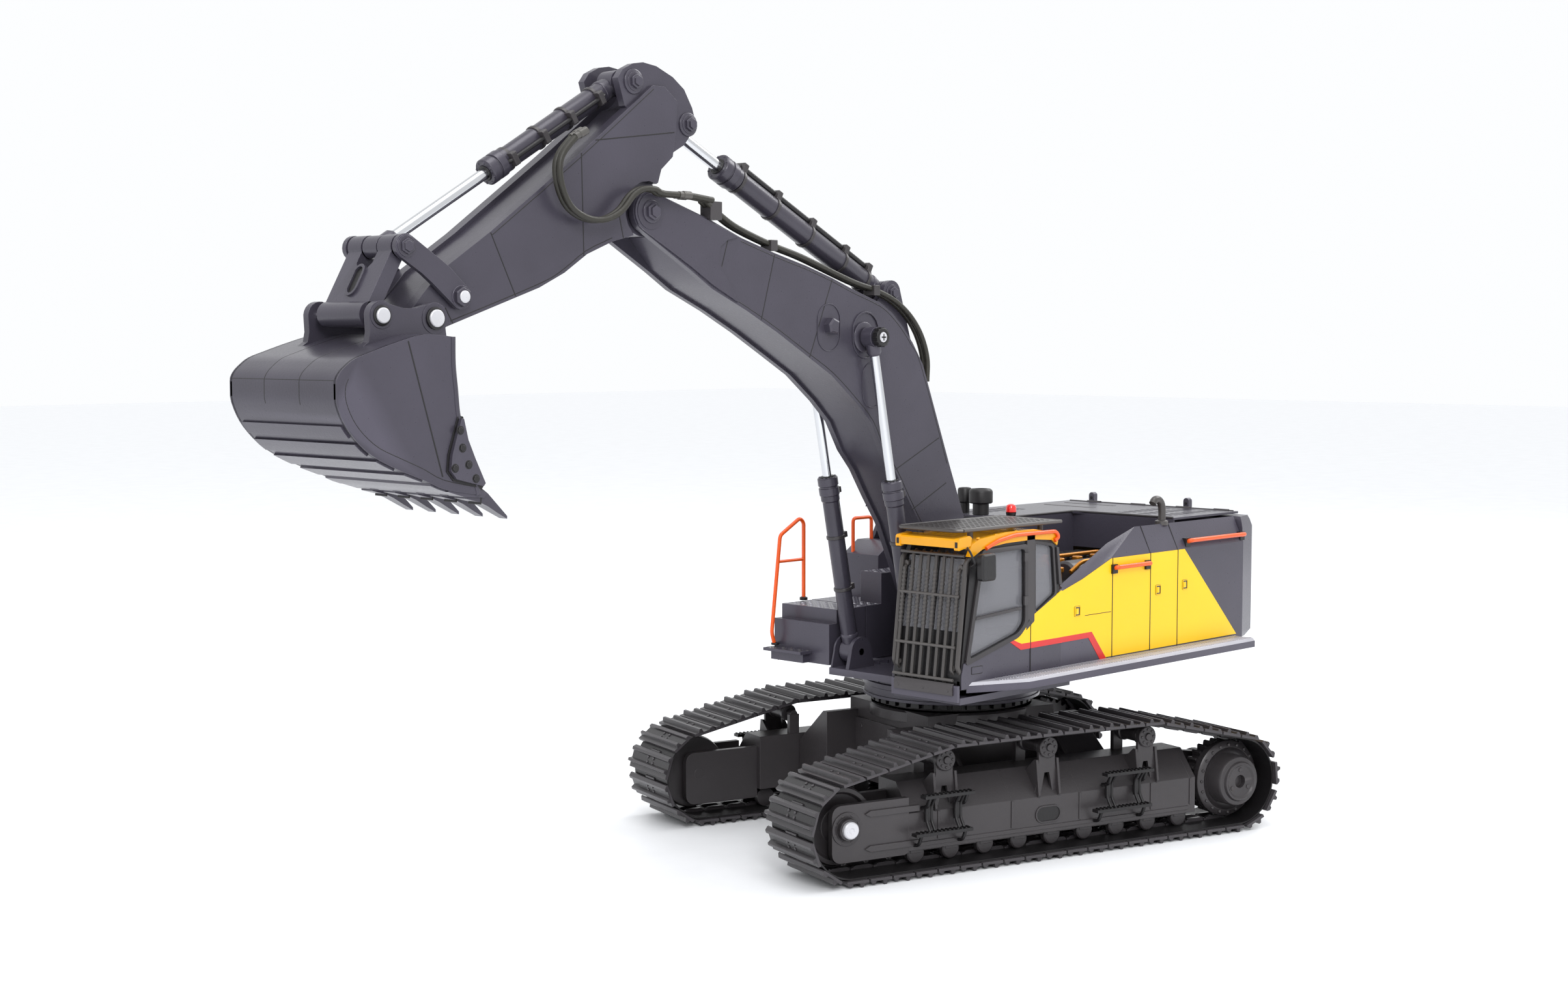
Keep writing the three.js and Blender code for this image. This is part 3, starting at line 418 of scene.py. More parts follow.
def rounded(path, radius, steps=5):
    """A path of straight runs with its corners rounded."""
    out = [path[0]]
    for before, corner, after in zip(path, path[1:], path[2:]):
        cut = min(radius, (before - corner).length * 0.48, (after - corner).length * 0.48)
        a = corner + (before - corner).normalized() * cut
        b = corner + (after - corner).normalized() * cut
        out += [a.lerp(corner, t / steps).lerp(corner.lerp(b, t / steps), t / steps) for t in range(steps + 1)]
    return out + [path[-1]]


def smooth_path(points, per=6):
    """A smooth curve through points."""
    pts = [Vector(p) for p in points]
    pts = [pts[0] * 2 - pts[1]] + pts + [pts[-1] * 2 - pts[-2]]
    out = []
    for a, b, c, d in zip(pts, pts[1:], pts[2:], pts[3:]):
        for k in range(per):
            t = k / per
            out.append(0.5 * (2 * b + (c - a) * t + (2 * a - 5 * b + 4 * c - d) * t * t
                              + (3 * b - a - 3 * c + d) * t ** 3))
    return out + [pts[-2]]


# ------------------------------------------------------------------ undercarriage
# Every piece is drawn on the left, y > 0, and mirrored for the right.
def under_pivot(joint):
    x, _, z = UNDER.inverted() @ Vector(JOINTS[joint]["pos_m"])
    return (x, z)


SPROCKET = under_pivot("sprocket_left_spin")
IDLER = under_pivot("idler_left_spin")
TOP_ROLLERS = [under_pivot(f"top_roller_left_{i}_spin") for i in (1, 2, 3)]
TRACK_Y = 75.8
SHOE_HALF = 21.7
SHOES = 47
SPROCKET_TEETH = 26


def belt_places(count, wheel=20.5, roller=5.2):
    """Evenly spaced places round the belt: (x, z, outward angle)."""
    circles = [(*SPROCKET, wheel), (*IDLER, wheel)] + [(x, z, roller) for x, z in TOP_ROLLERS]
    leave = []
    for (x, z, r), (x2, z2, r2) in zip(circles, circles[1:] + circles[:1]):
        leave.append(math.atan2(z2 - z, x2 - x) - math.acos((r - r2) / math.hypot(x2 - x, z2 - z)))
    path = []
    for i, (x, z, r) in enumerate(circles):
        start, end = leave[i - 1], leave[i]
        while end < start:
            end += 2 * math.pi
        steps = max(2, round((end - start) * 16))
        path += [(x + r * math.cos(a), z + r * math.sin(a), a)
                 for a in (start + (end - start) * k / steps for k in range(steps + 1))]
    x, z, angle = path[0]
    path.append((x, z, angle + 2 * math.pi * round((path[-1][2] - angle) / (2 * math.pi))))
    lengths = [math.dist(a[:2], b[:2]) for a, b in zip(path, path[1:])]
    pitch = sum(lengths) / count
    places, leg, passed = [], 0, 0.0
    for i in range(count):
        while passed + lengths[leg] < i * pitch:
            passed += lengths[leg]
            leg += 1
        share = (i * pitch - passed) / lengths[leg]
        a, b = path[leg], path[leg + 1]
        turn = (b[2] - a[2] + math.pi) % (2 * math.pi) - math.pi
        places.append((a[0] + (b[0] - a[0]) * share, a[1] + (b[1] - a[1]) * share, a[2] + turn * share))
    return places, pitch


def track(side, sign):
    places, pitch = belt_places(SHOES)
    half = pitch * 0.47
    piece = Piece(f"track_{side}_shoes", UNDER).use(SHOE)
    # One shoe, drawn with its outer face up: a plate with a folded lip and a tall bar
    section = [(-half, 2.5), (half, 2.5), (half, 4.1), (half - 2.4, 4.1), (half - 3.0, 5.95), (half - 4.4, 5.95),
               (half - 5.2, 3.9), (-half + 3.4, 3.9), (-half + 2.8, 5.0), (-half + 1.3, 5.0), (-half, 3.4)]
    shoe = piece.plate_y(section, TRACK_Y - SHOE_HALF, TRACK_Y + SHOE_HALF)
    for dx in (-1.5, 1.1):
        for dy in (-3.1, 3.1):
            shoe += piece.bolt((dx - 0.6, TRACK_Y + dy, 3.9), (0, 0, 1), 0.95, 0.5)
    link = capsule((-half * 0.62, 0.9), 1.9, (half * 0.62, 0.9), 1.9, 5)
    for dy in (-4.6, 2.6):
        shoe += piece.plate_y([(x, z + 0.9) for x, z in link], TRACK_Y + dy, TRACK_Y + dy + 2.0)
    shoe += piece.turned((-half, 1.6), [(TRACK_Y - 5.0, 1.0), (TRACK_Y + 5.0, 1.0)], 8)
    for x, z, angle in places:
        turn = Matrix.Rotation(math.pi / 2 - angle, 4, "Y")
        piece.copy_turned(shoe, Matrix.Translation((x, 0, z)) @ turn)
    bmesh.ops.delete(piece.mesh, geom=shoe, context="VERTS")
    # The chain's dark inner band, seen between the shoes
    band = ((1.7, -19.5), (2.6, -19.5), (2.6, 19.5), (1.7, 19.5))
    piece.use(BLACK).loft([[(x + out * math.cos(angle), TRACK_Y + y, z + out * math.sin(angle)) for out, y in band]
                           for x, z, angle in belt_places(SHOES * 4)[0]], closed=True)
    piece.to_side(sign)
    piece.done("undercarriage", f"track_{side}", bevel=0.22, slot="track_shoes", segments=1)


def sprocket(side, sign):
    piece = Piece(f"sprocket_{side}_wheel", UNDER).use(DARK)
    teeth = []
    corners = SPROCKET_TEETH * 4
    for i in range(corners):
        angle = 2 * math.pi * i / corners
        radius = 19.7 if i % 4 in (1, 2) else 17.6
        teeth.append((SPROCKET[0] + radius * math.cos(angle), SPROCKET[1] + radius * math.sin(angle)))
    piece.plate_y(teeth, 72.5, 79.2)
    piece.turned(SPROCKET, [(79, 18.2), (81.2, 20.1), (84.6, 20.1), (85.4, 19.2), (86.2, 16.8), (84.6, 15.4),
                            (84.2, 13.8)], 48)
    piece.turned(SPROCKET, [(80, 13.4), (93.2, 13.4), (94.4, 12.6), (94.8, 10.6), (96.2, 10.0), (96.4, 9.0),
                            (95.6, 8.0), (95.4, 3.4), (92.5, 3.2)], 48)
    piece.bolt_ring(SPROCKET, 18.0, 20, 0, 85.7, 0.9, 0.7)
    piece.bolt_ring(SPROCKET, 6.2, 3, math.pi / 2, 95.5, 1.3, 0.5)
    piece.to_side(sign)
    piece.done(f"sprocket_{side}", f"sprocket_{side}", bevel=0.3, slot="dark_paint")


def idler(side, sign):
    piece = Piece(f"idler_{side}_wheel", UNDER).use(DARK)
    piece.turned(IDLER, [(70, 16.0), (70.4, 18.8), (73.2, 19.6), (78.4, 19.6), (81.1, 18.8), (81.5, 16.6), (80, 15.6),
                         (79.2, 9.0), (81, 7.4), (83.4, 7.0), (83.5, 3.6)], 48)
    piece.to_side(sign)
    piece.done(f"idler_{side}", f"idler_{side}", bevel=0.3, slot="dark_paint")


def top_roller(side, sign, number):
    centre = TOP_ROLLERS[number - 1]
    piece = Piece(f"top_roller_{side}_{number}_wheel", UNDER).use(DARK)
    piece.turned(centre, [(66.4, 3.4), (66.8, 4.6), (69.2, 4.6), (69.8, 3.8), (80.6, 3.8), (81.2, 4.6), (83.2, 4.6),
                          (83.7, 3.6)], 28)
    piece.to_side(sign)
    name = f"top_roller_{side}_{number}"
    piece.done(name, name, bevel=0.2, slot="dark_paint")


def footstep(piece, x0, x1, z):
    """A bar step on two bent legs."""
    piece.use(BLACK)
    piece.box((x0, x1), (92.2, 97.0), (z, z + 1.6))
    for k in range(int((x1 - x0) / 2.4)):
        piece.box((x0 + 1 + k * 2.4, x0 + 2 + k * 2.4), (92.6, 96.6), (z + 1.4, z + 2.1))
    for x in (x0 + 3, x1 - 4.4):
        piece.tube([(x, 86.6, z - 6), (x, 92, z - 5), (x, 94.5, z + 0.4)], 0.9, 8, 2)
    piece.use(DARK)


def track_frame(side, sign):
    piece = Piece(f"track_frame_{side}_beam", UNDER).use(DARK)
    # The beam, with a closed box top and a skirt that hides the bottom rollers' axles
    beam = [(60.2, 15), (64.6, 15), (64.6, 15.4), (85.9, 15.4), (85.9, 11.6), (87.9, 11.6), (87.9, 30), (76, 43.8),
            (60.2, 43.8)]
    piece.plate_x(beam, -94.8, 83.8)
    piece.plate_x(rect(86, 88.4, 13.4, 15.4), -90, 80)
    for x in (-92, -66, -20, 22, 66):
        piece.plate_x([(87.6, 16), (88.4, 16), (88.4, 29.6), (77, 42.9), (76, 42.9), (87.6, 29.4)], x, x + 1.2)
    piece.use(BLACK).plate_y(capsule((-3, 21), 3.6, (4, 21), 3.6), 87.7, 88.05)
    piece.use(DARK)
    ring = capsule((-3, 21), 4.4, (4, 21), 4.4)
    inner = capsule((-3, 21), 3.5, (4, 21), 3.5)
    piece.layers_y(((ring, 87.6), (ring, 88.5), (inner, 88.5), (inner, 87.8)))
    # Idler yoke, its long ribs and the axle's pale cap
    yoke = [(83.6, 11), (86, 10), (120, 10), *arc((122, 15), 5, -80, 0, 4), *arc((122, 33), 5, 0, 90, 4), (83.6, 38)]
    piece.plate_y(yoke, 84.2, 87.8)
    piece.plate_y(yoke, 63.7, 67.3)
    for z0, z1 in ((14, 17), (31, 34)):
        piece.plate_y([(78, z0), (106, z0), (109, z0 + 1.5), (106, z1), (78, z1)], 87.4, 88.8)
    piece.turned(IDLER, [(63.6, 3), (84, 3), (87.4, 8.2), (88.4, 8.2), (88.6, 7.2), (88.2, 5.6), (90.8, 5.2)], 32)
    piece.bolt_ring(IDLER, 6.9, 8, math.pi / 8, 88.2, 0.8, 0.5)
    piece.use(WHITE).turned(IDLER, [(90, 4.2), (92.4, 4.2), (93, 3.6), (93, 1.4), (92.6, 1.2)], 28)
    piece.use(DARK)
    # Rear plate and final drive housing
    rear = [(-90, 12), (-121, 14), (-129, 22), (-129, 31), (-121, 37), (-90, 42)]
    piece.plate_y(rear, 60.2, 65.8)
    piece.turned(SPROCKET, [(56, 9), (56.4, 11.8), (68.6, 11.8), (70.2, 10.6), (70.4, 8)], 36)
    # Top roller brackets: a plate with two fins and a round bolted cap
    for x, z in TOP_ROLLERS:
        plate = [(x - 8, 29), (x - 5, z - 7), *arc((x, z), 5.4, 200, -20, 10), (x + 5, z - 7), (x + 8, 29),
                 (x + 4, 29), (x + 1.4, z - 13), (x - 1.4, z - 13), (x - 4, 29)]
        piece.plate_y(plate, 84.2, 86.0)
        for dx in (-7, 5.6):
            piece.plate_x([(77, 42), (88, 29.5), (88.8, 31), (86.4, z - 6), (84.4, z - 6)], x + dx, x + dx + 1.4)
        piece.turned((x, z), [(85.4, 5.5), (87.4, 5.5), (87.8, 5.0), (87.8, 2.0), (88.8, 1.7)], 32)
        piece.bolt_ring((x, z), 3.7, 8, 0, 87.6, 0.75, 0.7)
        piece.turned((x, z), [(61, 2.2), (66.1, 2.2)], 12)
        piece.box((x - 3, x + 3), (60.6, 63.4), (40, z))
    for x0, x1, z in ((51, 80, 38), (-60, -30, 38), (52, 85, 20), (-59, -24, 20)):
        footstep(piece, x0, x1, z)
    # Bent hangers that tie each upper step to the lower one
    piece.use(BLACK)
    for x in (57, 74, -54, -36):
        for dx in (-1.4, 1.4):
            hanger = ((94.6, 38.6), (90.8, 33.5), (90.8, 26), (94.6, 20.8))
            piece.tube([(x + dx, y, z) for y, z in hanger], 0.8, 8, 2)
        piece.box((x - 2.2, x + 2.2), (89.8, 91), (25.6, 33.8))
    piece.use(DARK)
    piece.to_side(sign)
    piece.done("undercarriage", f"track_frame_{side}", bevel=0.35, slot="dark_paint")


def bottom_rollers(side, sign):
    piece = Piece(f"bottom_rollers_{side}_row", UNDER).use(DARK)
    for i in range(9):
        centre = (77.8 - 20.5 * i, 9.5)
        piece.turned(centre, [(65, 2.4), (65.4, 3.0), (81.4, 3.0), (82, 5.1), (84.8, 5.1), (85.4, 4.4),
                              (85.5, 2.4)], 24)
        piece.turned(centre, [(64.6, 4), (64.8, 5.1), (68.4, 5.1), (69, 4)], 24)
        piece.box((centre[0] - 3.4, centre[0] + 3.4), (82.4, 85.7), (9.6, 15.2))
    piece.box((-91, 82), (66, 84.5), (10.2, 11.2))
    piece.to_side(sign)
    piece.done("undercarriage", f"bottom_rollers_{side}", bevel=0.2, slot="dark_paint")


def car_body():
    piece = Piece("car_body_casting", UNDER).use(DARK)
    piece.box((-40, 40), (-38, 38), (23, 65.9))
    for sx in (-1, 1):
        for sy in (-1, 1):
            profile = [(sy * 30, 24), (sy * 59.5, 16.5), (sy * 59.5, 40), (sy * 34, 60), (sy * 30, 60)]
            piece.plate_x(profile, *sorted((sx * 30, sx * 59.6)))
            piece.plate_x([(sy * 36, 60), (sy * 59.4, 41.4), (sy * 59.4, 43), (sy * 38, 62.4)],
                          *sorted((sx * 32, sx * 34)))
    piece.plate_x(rect(-30, 30, 30, 56), 39.6, 41.6)
    for y in (-24, 24):
        for z in (34, 52):
            piece.bolt((41.4, y, z), (1, 0, 0), 1.4, 0.8)
    piece.upright((0, 0), [(60, 44), (65.0, 44), (65.9, 43)], 64)
    piece.done("undercarriage", "carbody", bevel=0.6, slot="dark_paint")
    ring = Piece("turntable_ring_blocks", UNDER).use(BLACK)
    ring.upright((0, 0), [(66.1, 39.4), (66.3, 40), (74.2, 40), (74.4, 39.4)], 72)
    for i in range(36):
        turn = Matrix.Rotation(2 * math.pi * i / 36, 4, "Z")
        block = ring.plate_x(rect(-2.4, 2.4, 67.4, 73.6), 40, 43)
        bmesh.ops.transform(ring.mesh, matrix=turn, verts=block)
    ring.done("undercarriage", "turntable_ring", bevel=0.25, slot="black_paint")


def undercarriage():
    car_body()
    for side, sign in (("left", 1), ("right", -1)):
        track(side, sign)
        sprocket(side, sign)
        idler(side, sign)
        for number in (1, 2, 3):
            top_roller(side, sign, number)
        track_frame(side, sign)
        bottom_rollers(side, sign)


# ------------------------------------------------------------------ upper body
CAB_INNER, CAB_OUTER = 28.3, 71.4
CAB_SIDE = [(-1.7, 88), (78.5, 88), (78.5, 95), (71, 152), (66, 160), (45, 163), (22, 163.2), (6, 160), (1, 152)]
SIDE_WINDOW = [(61.4, 153.6), (29.5, 154.2), (29, 117), (34.5, 112.3), (72.5, 102.9)]
REAR_WINDOW = [(20.5, 156.2), (6.5, 153.9), (4, 129.4), (20, 121.2)]


def holed(piece, lines, near, far):
    """A plate whose first line is its edge and the rest its holes; near and far place a point on its faces."""
    faces = tessellate_polygon([[Vector((x, y, 0)) for x, y in line] for line in lines])
    points = [p for line in lines for p in line]
    count = len(points)
    sides = []
    start = 0
    for line in lines:
        for i in range(len(line)):
            a, b = start + i, start + (i + 1) % len(line)
            sides.append((a, b, b + count, a + count))
        start += len(line)
    caps = [tuple(f) for f in faces] + [tuple(i + count for i in reversed(f)) for f in faces]
    piece.add([near(*p) for p in points] + [far(*p) for p in points], caps + sides)


def frame_plate(piece, outline, holes, inner, outer):
    """A plate on the left side with window holes."""
    holed(piece, [outline, *holes], lambda x, z: (x, inner, z), lambda x, z: (x, outer, z))


def holed_top(piece, outline, holes, z0, z1):
    """A flat plate lying in x and y with holes through it."""
    holed(piece, [outline, *holes], lambda x, y: (x, y, z0), lambda x, y: (x, y, z1))


def grown(outline, distance):
    """The outline moved outwards by a distance, corner by corner."""
    out = []
    count = len(outline)
    area = sum(a[0] * b[1] - b[0] * a[1] for a, b in zip(outline, outline[1:] + outline[:1]))
    turn = 1 if area > 0 else -1
    for i in range(count):
        before, here, after = (Vector(outline[k % count]) for k in (i - 1, i, i + 1))
        u = (here - before).normalized()
        v = (after - here).normalized()
        n = Vector((u.y + v.y, -u.x - v.x)) * turn
        n.normalize()
        facing = max(0.35, n.dot(Vector((u.y, -u.x)) * turn))
        out.append(tuple(here + n * (distance / facing)))
    return out


def inset(points, centre, distance):
    """Points moved straight towards a centre."""
    moved = []
    for x, z in points:
        length = math.dist((x, z), centre)
        moved.append((x + (centre[0] - x) * distance / length, z + (centre[1] - z) * distance / length))
    return moved


def softened(outline, radius, steps=4):
    """A closed outline with rounded corners."""
    out = []
    count = len(outline)
    for i in range(count):
        before, here, after = (Vector(outline[k % count]) for k in (i - 1, i, i + 1))
        cut = min(radius, (before - here).length * 0.45, (after - here).length * 0.45)
        a = here + (before - here).normalized() * cut
        b = here + (after - here).normalized() * cut
        out += [tuple(a.lerp(here, t / steps).lerp(here.lerp(b, t / steps), t / steps)) for t in range(steps + 1)]
    return out


def cab():
    shell = Piece("cab_shell_panels").use(BLACK)
    side_holes = [softened(SIDE_WINDOW, 2.5), softened(REAR_WINDOW, 2)]
    frame_plate(shell, softened(CAB_SIDE, 2.5), side_holes, 69.2, CAB_OUTER)
    frame_plate(shell, softened(CAB_SIDE, 2.5), [softened([(61, 152), (8, 152), (6, 118), (72, 118)], 3)],
                CAB_INNER, 30.2)
    # Roof skin, floor, front and rear walls between the two sides
    roof = [(71.5, 158.6), (66, 161), (45, 163.2), (22, 163.4), (5.6, 160.6), (2.6, 157)]
    shell.use(AMBER).plate_y(roof + inset_down(roof, 2.0)[::-1], 29, 71.2)
    band = [(74.4, 153.4), (71.4, 158.8), (66, 161.2), (45, 163.4), (22, 163.6), (5.4, 160.8), (2.2, 156.4), (3, 154.2),
            (7.4, 157.2), (22, 158.4), (45, 158), (63, 156.2), (70.6, 152.8)]
    shell.side_plate(band, 70.8, 72.2)
    shell.use(BLACK)
    shell.box((-1, 78), (29, 71), (88, 90.4))
    shell.plate_y([(78.5, 90), (78.5, 95), (75.8, 116), (73.8, 116), (76.4, 95), (76.4, 90)], 29, 71)
    shell.plate_y([(-1.7, 90), (0.2, 90), (2.6, 130), (0.6, 130)], 29, 71)
    shell.plate_y([(0.9, 149), (2.9, 149), (7.6, 159), (6, 160.6)], 29, 71)
    for y in (29, 49.2, 69):
        shell.plate_y([(76.0, 114), (71, 152), (66, 160.4), (64.2, 159), (69, 151.4), (74, 114)], y, y + 2.2)
        shell.plate_y([(0.4, 128), (2.4, 128), (3.2, 151), (1.2, 151)], y, y + 2.2)
    # Raised frame round the door window, with its middle bar and the pillars
    shell.use(DARK)
    frame_plate(shell, softened(grown(SIDE_WINDOW, 2.4), 3), [softened(SIDE_WINDOW, 2.5)], 71.2, 72.4)
    frame_plate(shell, softened(grown(REAR_WINDOW, 1.4), 2), [softened(REAR_WINDOW, 2)], 71.2, 72.0)
    shell.side_plate([(67.6, 123), (32.0, 125.2), (32.0, 123.8), (67.8, 121.6)], 71.0, 72.3)
    shell.side_plate([(27.7, 161), (21.3, 161), (21.3, 117), (27.7, 113)], 71.0, 72.2)
    shell.side_plate([(3.6, 153), (1.8, 153), (-1.2, 133.8), (1.0, 133.8)], 71.0, 72.4)
    for hinge in (150, 128):
        shell.box((26.6, 30.4), (72, 73), (hinge - 2.2, hinge + 2.2))
    # Roof rail down the side
    shell.use(ORANGE)
    rail = [(61.2, 156.5), (51.6, 159.8), (38.2, 161.7), (5.2, 161.5), (2.5, 158.4), (6.2, 156.8)]
    shell.tube([(x, 72.9, z) for x, z in rail], 1.0, 12, bend=2.5)
    # Round studs low on the door side
    shell.use(SLATE)
    for x, z in ((70, 97.5), (44, 92.5), (10, 92.5)):
        shell.bolt((x, 71.4, z), (0, 1, 0), 0.9, 0.4)
    shell.done("upper", "cab_shell", bevel=0.3, slot="black_paint")

    glass = Piece("cab_glazing").use(GLASS)
    glass.side_plate(grown(SIDE_WINDOW, 1.0), 69.6, 70.2)
    glass.side_plate(grown(REAR_WINDOW, 0.8), 69.6, 70.2)
    glass.plate_y([(75.4, 116), (70.4, 151.6), (70.0, 151.4), (75.0, 116)], 31.2, 49.2)
    glass.plate_y([(75.4, 116), (70.4, 151.6), (70.0, 151.4), (75.0, 116)], 51.4, 69)
    glass.plate_y([(1.6, 130), (2.6, 149.6), (2.2, 149.6), (1.2, 130)], 31.2, 69)
    glass.side_plate([(64, 154), (6, 154), (4, 116), (74, 116)], 29.2, 29.6)
    glass.use(BLACK).plate_y([(66, 95), (68, 95), (66, 150), (64, 150)], 31, 69)
    # What shows through the windows: seat, levers and a console
    glass.use(BLACK)
    glass.plate_y([(20, 91), (42, 91), (44, 106), (40, 108), (22, 107), (18, 140), (13, 142), (12, 108)], 38, 62)
    glass.plate_y([(14, 143), (19, 143), (20, 151), (15, 151.6)], 44, 56)
    for y in (36, 60.5):
        glass.box((24, 50), (y, y + 3.5), (112, 115))
        glass.box((30, 34), (y, y + 3.5), (91, 112))
        glass.tube([(48, y + 1.7, 115), (50, y + 1.7, 124), (49, y + 1.7, 128)], 0.7, 8)
        glass.tube([(49, y + 1.7, 126), (49, y + 1.7, 131)], 1.3, 8)
    glass.use(DARK).plate_y([(64, 91), (71, 91), (70, 116), (60, 124), (58, 122), (64, 112)], 33, 38)
    glass.box((56, 62), (44, 56), (91, 97))
    glass.done("upper", "cab_windows", bevel=0.25, slot="cab_glass")
    grille()
    visor()
    guard()
    mirror()


def inset_down(outline, distance):
    return [(x, z - distance) for x, z in outline]


def slope(z):
    """The grille's x at a height: its plane leans back as it rises, from (81, 88) to (73, 155)."""
    return 81 + (z - 88) * (73 - 81) / (155 - 88)


def grille():
    piece = Piece("front_grille_bars").use(GUN)
    for i in range(8):
        y = 31.6 + i * 5.0
        low_end, high_end = (91, 154.4) if 0 < i < 7 else (95.5, 147.5)
        points = [(slope(low_end) - 2.4, y, low_end), (slope(low_end + 2), y, low_end + 2),
                  (slope(high_end - 2), y, high_end - 2), (slope(high_end) - 2.4, y, high_end)]
        piece.tube(points, 0.95, 10, bend=1.2)
        # Wound upper half of each bar
        for z in range(118, 146, 2):
            piece.along((slope(z), y, z), (slope(z + 2), y, z + 2), [(0, 0.9), (0.6, 1.25), (1.2, 1.25), (1.8, 0.9)], 8)
    for z, reach in ((133.5, 19.4), (108.8, 19.4), (153.4, 20.4), (93, 19.4)):
        piece.tube([(slope(z) + 0.4, 49.1 - reach, z), (slope(z) + 0.4, 49.1 + reach, z)], 0.85, 10)
    for y in (29.4, 70.2):
        piece.tube([(slope(100) - 2.4, y, 96), (slope(100), y, 99), (slope(150), y, 150), (slope(152) - 3, y, 153)],
                   1.25, 10, bend=2)
    for z, y in ((98.5, 31.6), (98.5, 66.6), (147.5, 31.6), (147.5, 66.6)):
        piece.along((slope(z) - 5, y, z), (slope(z), y, z), [(0, 1.5), (4.4, 1.5)], 12)
    piece.use(SLATE)
    piece.plate_y(rect(78.7, 80.6, 82.2, 90.4), 28.4, 71.2)
    piece.use(DARK)
    piece.plate_y([(80.4, 85.4), (81.6, 85.4), (81.8, 89), (80.8, 91.4), (80, 91.4)], 31, 68.6)
    for y in (34, 50, 66):
        piece.bolt((81.4, y, 88), (1, 0, 0), 1.1, 0.4)
    piece.done("upper", "front_grille", bevel=0.12, slot="black_paint", segments=1)


def visor():
    piece = Piece("visor_shade").use(AMBER)
    piece.plate_y([(70.6, 160.6), (80.2, 157.9), (80.7, 160.2), (79.6, 161.8), (71, 163)], 34.4, 69.4)
    piece.plate_y([(79.4, 157.7), (80.9, 157.7), (81.2, 161.4), (80.2, 162.2)], 33.8, 70.2)
    for y0, y1 in ((31.6, 34.6), (69.2, 72.2)):
        piece.plate_y([(72, 158.4), (80.9, 156.6), (81.4, 157), (81.4, 161.6), (80.6, 162.4), (72.8, 163.4),
                       (71.2, 162.4)], y0, y1)
        piece.use(BLACK).plate_y(rect(81.3, 81.6, 158, 160.8), y0 + 0.7, y1 - 0.7)
        piece.use(AMBER)
    for x in (20, 36, 52, 66):
        piece.bolt((x, 71.6, 163.4 - abs(x - 34) * 0.05), (0, 0, 1), 0.9, 0.5, 10)
    piece.done("upper", "visor", bevel=0.25, slot="amber_plastic")


def guard():
    piece = Piece("roof_guard_mesh").use(GUN)
    x0, x1, y0, y1 = -3.6, 77.6, 29, 69.4
    z0, z1 = 164.8, 166.8
    columns, rows = 20, 10
    outline = [(x0, y0), (x1 - 3, y0), (x1, y0 + 3), (x1, y1 - 3), (x1 - 3, y1), (x0, y1)]
    holes = []
    for i in range(columns):
        for j in range(rows):
            cx = x0 + 5.5 + (x1 - x0 - 11) * i / (columns - 1)
            cy = y0 + 4.5 + (y1 - y0 - 9) * j / (rows - 1)
            holes.append([(cx - 1.5, cy - 0.5), (cx + 0.4, cy - 1.5), (cx + 1.5, cy + 0.5), (cx - 0.4, cy + 1.5)])
    holed_top(piece, outline, holes, z0 + 0.7, z1 - 0.3)
    for y in (y0, y1):
        piece.tube([(x0, y, z0 + 1), (x1 - 3, y, z0 + 1)], 0.95, 10)
    piece.tube([(x1 - 3, y0, z0 + 1), (x1, y0 + 3, z0 + 1), (x1, y1 - 3, z0 + 1), (x1 - 3, y1, z0 + 1)], 0.95, 10,
               bend=1.5)
    piece.tube([(x0, y0, z0 + 1), (x0, y1, z0 + 1)], 0.95, 10)
    for x in (20, 48):
        piece.box((x - 0.9, x + 0.9), (y0, y1), (z0, z0 + 1.2))
    for x in (8, 64):
        for y in (33, 65):
            piece.upright((x, y), [(160.4, 1.5), (165, 1.5)], 12)
    piece.done("upper", "roof_guard", bevel=0, slot="black_paint")


def mirror():
    piece = Piece("cab_mirror_set").use(BLACK)
    face = softened([(61, 141.4), (72.2, 141.4), (72.6, 154.6), (61.4, 155)], 2.4)
    small = grown(face, -1.0)
    piece.layers_y(((small, 75.6), (face, 76.4), (face, 79.2), (small, 80)))
    piece.use(CHROME).side_plate(grown(face, -1.2), 75.3, 75.8)
    piece.use(BLACK)
    piece.tube([(72.6, 72, 148), (75, 77.5, 150), (79.0, 77.8, 156.0), (74, 71.2, 158)], 0.6, 8, bend=2)
    piece.along((66.8, 72, 149), (66.8, 77, 149), [(0, 1.1), (5, 1.1)], 10)
    piece.done("upper", "cab_mirror", bevel=0.2, slot="black_paint")


def grab_bar(piece, points, radius):
    """An orange handle held by a dark block at each foot."""
    piece.use(ORANGE).tube(points, radius, 12, bend=1.6)
    piece.use(BLACK)
    for x, y, z in (points[0], points[-1]):
        piece.box((x - 2.2, x + 2.2), (y - 1.2, y + 1.6), (z - 2.6, z + 2.2))


# The left cover's outline at its outer face, and the colour fields laid on it
COVER_FRONT = [(-3.7, 130.8), (-19.7, 135.2), (-45.2, 144.2)]
COVER_INNER = [(-9.5, 131.9), (-50, 151), (-75, 158.3)]
OVERLAY = 0.12


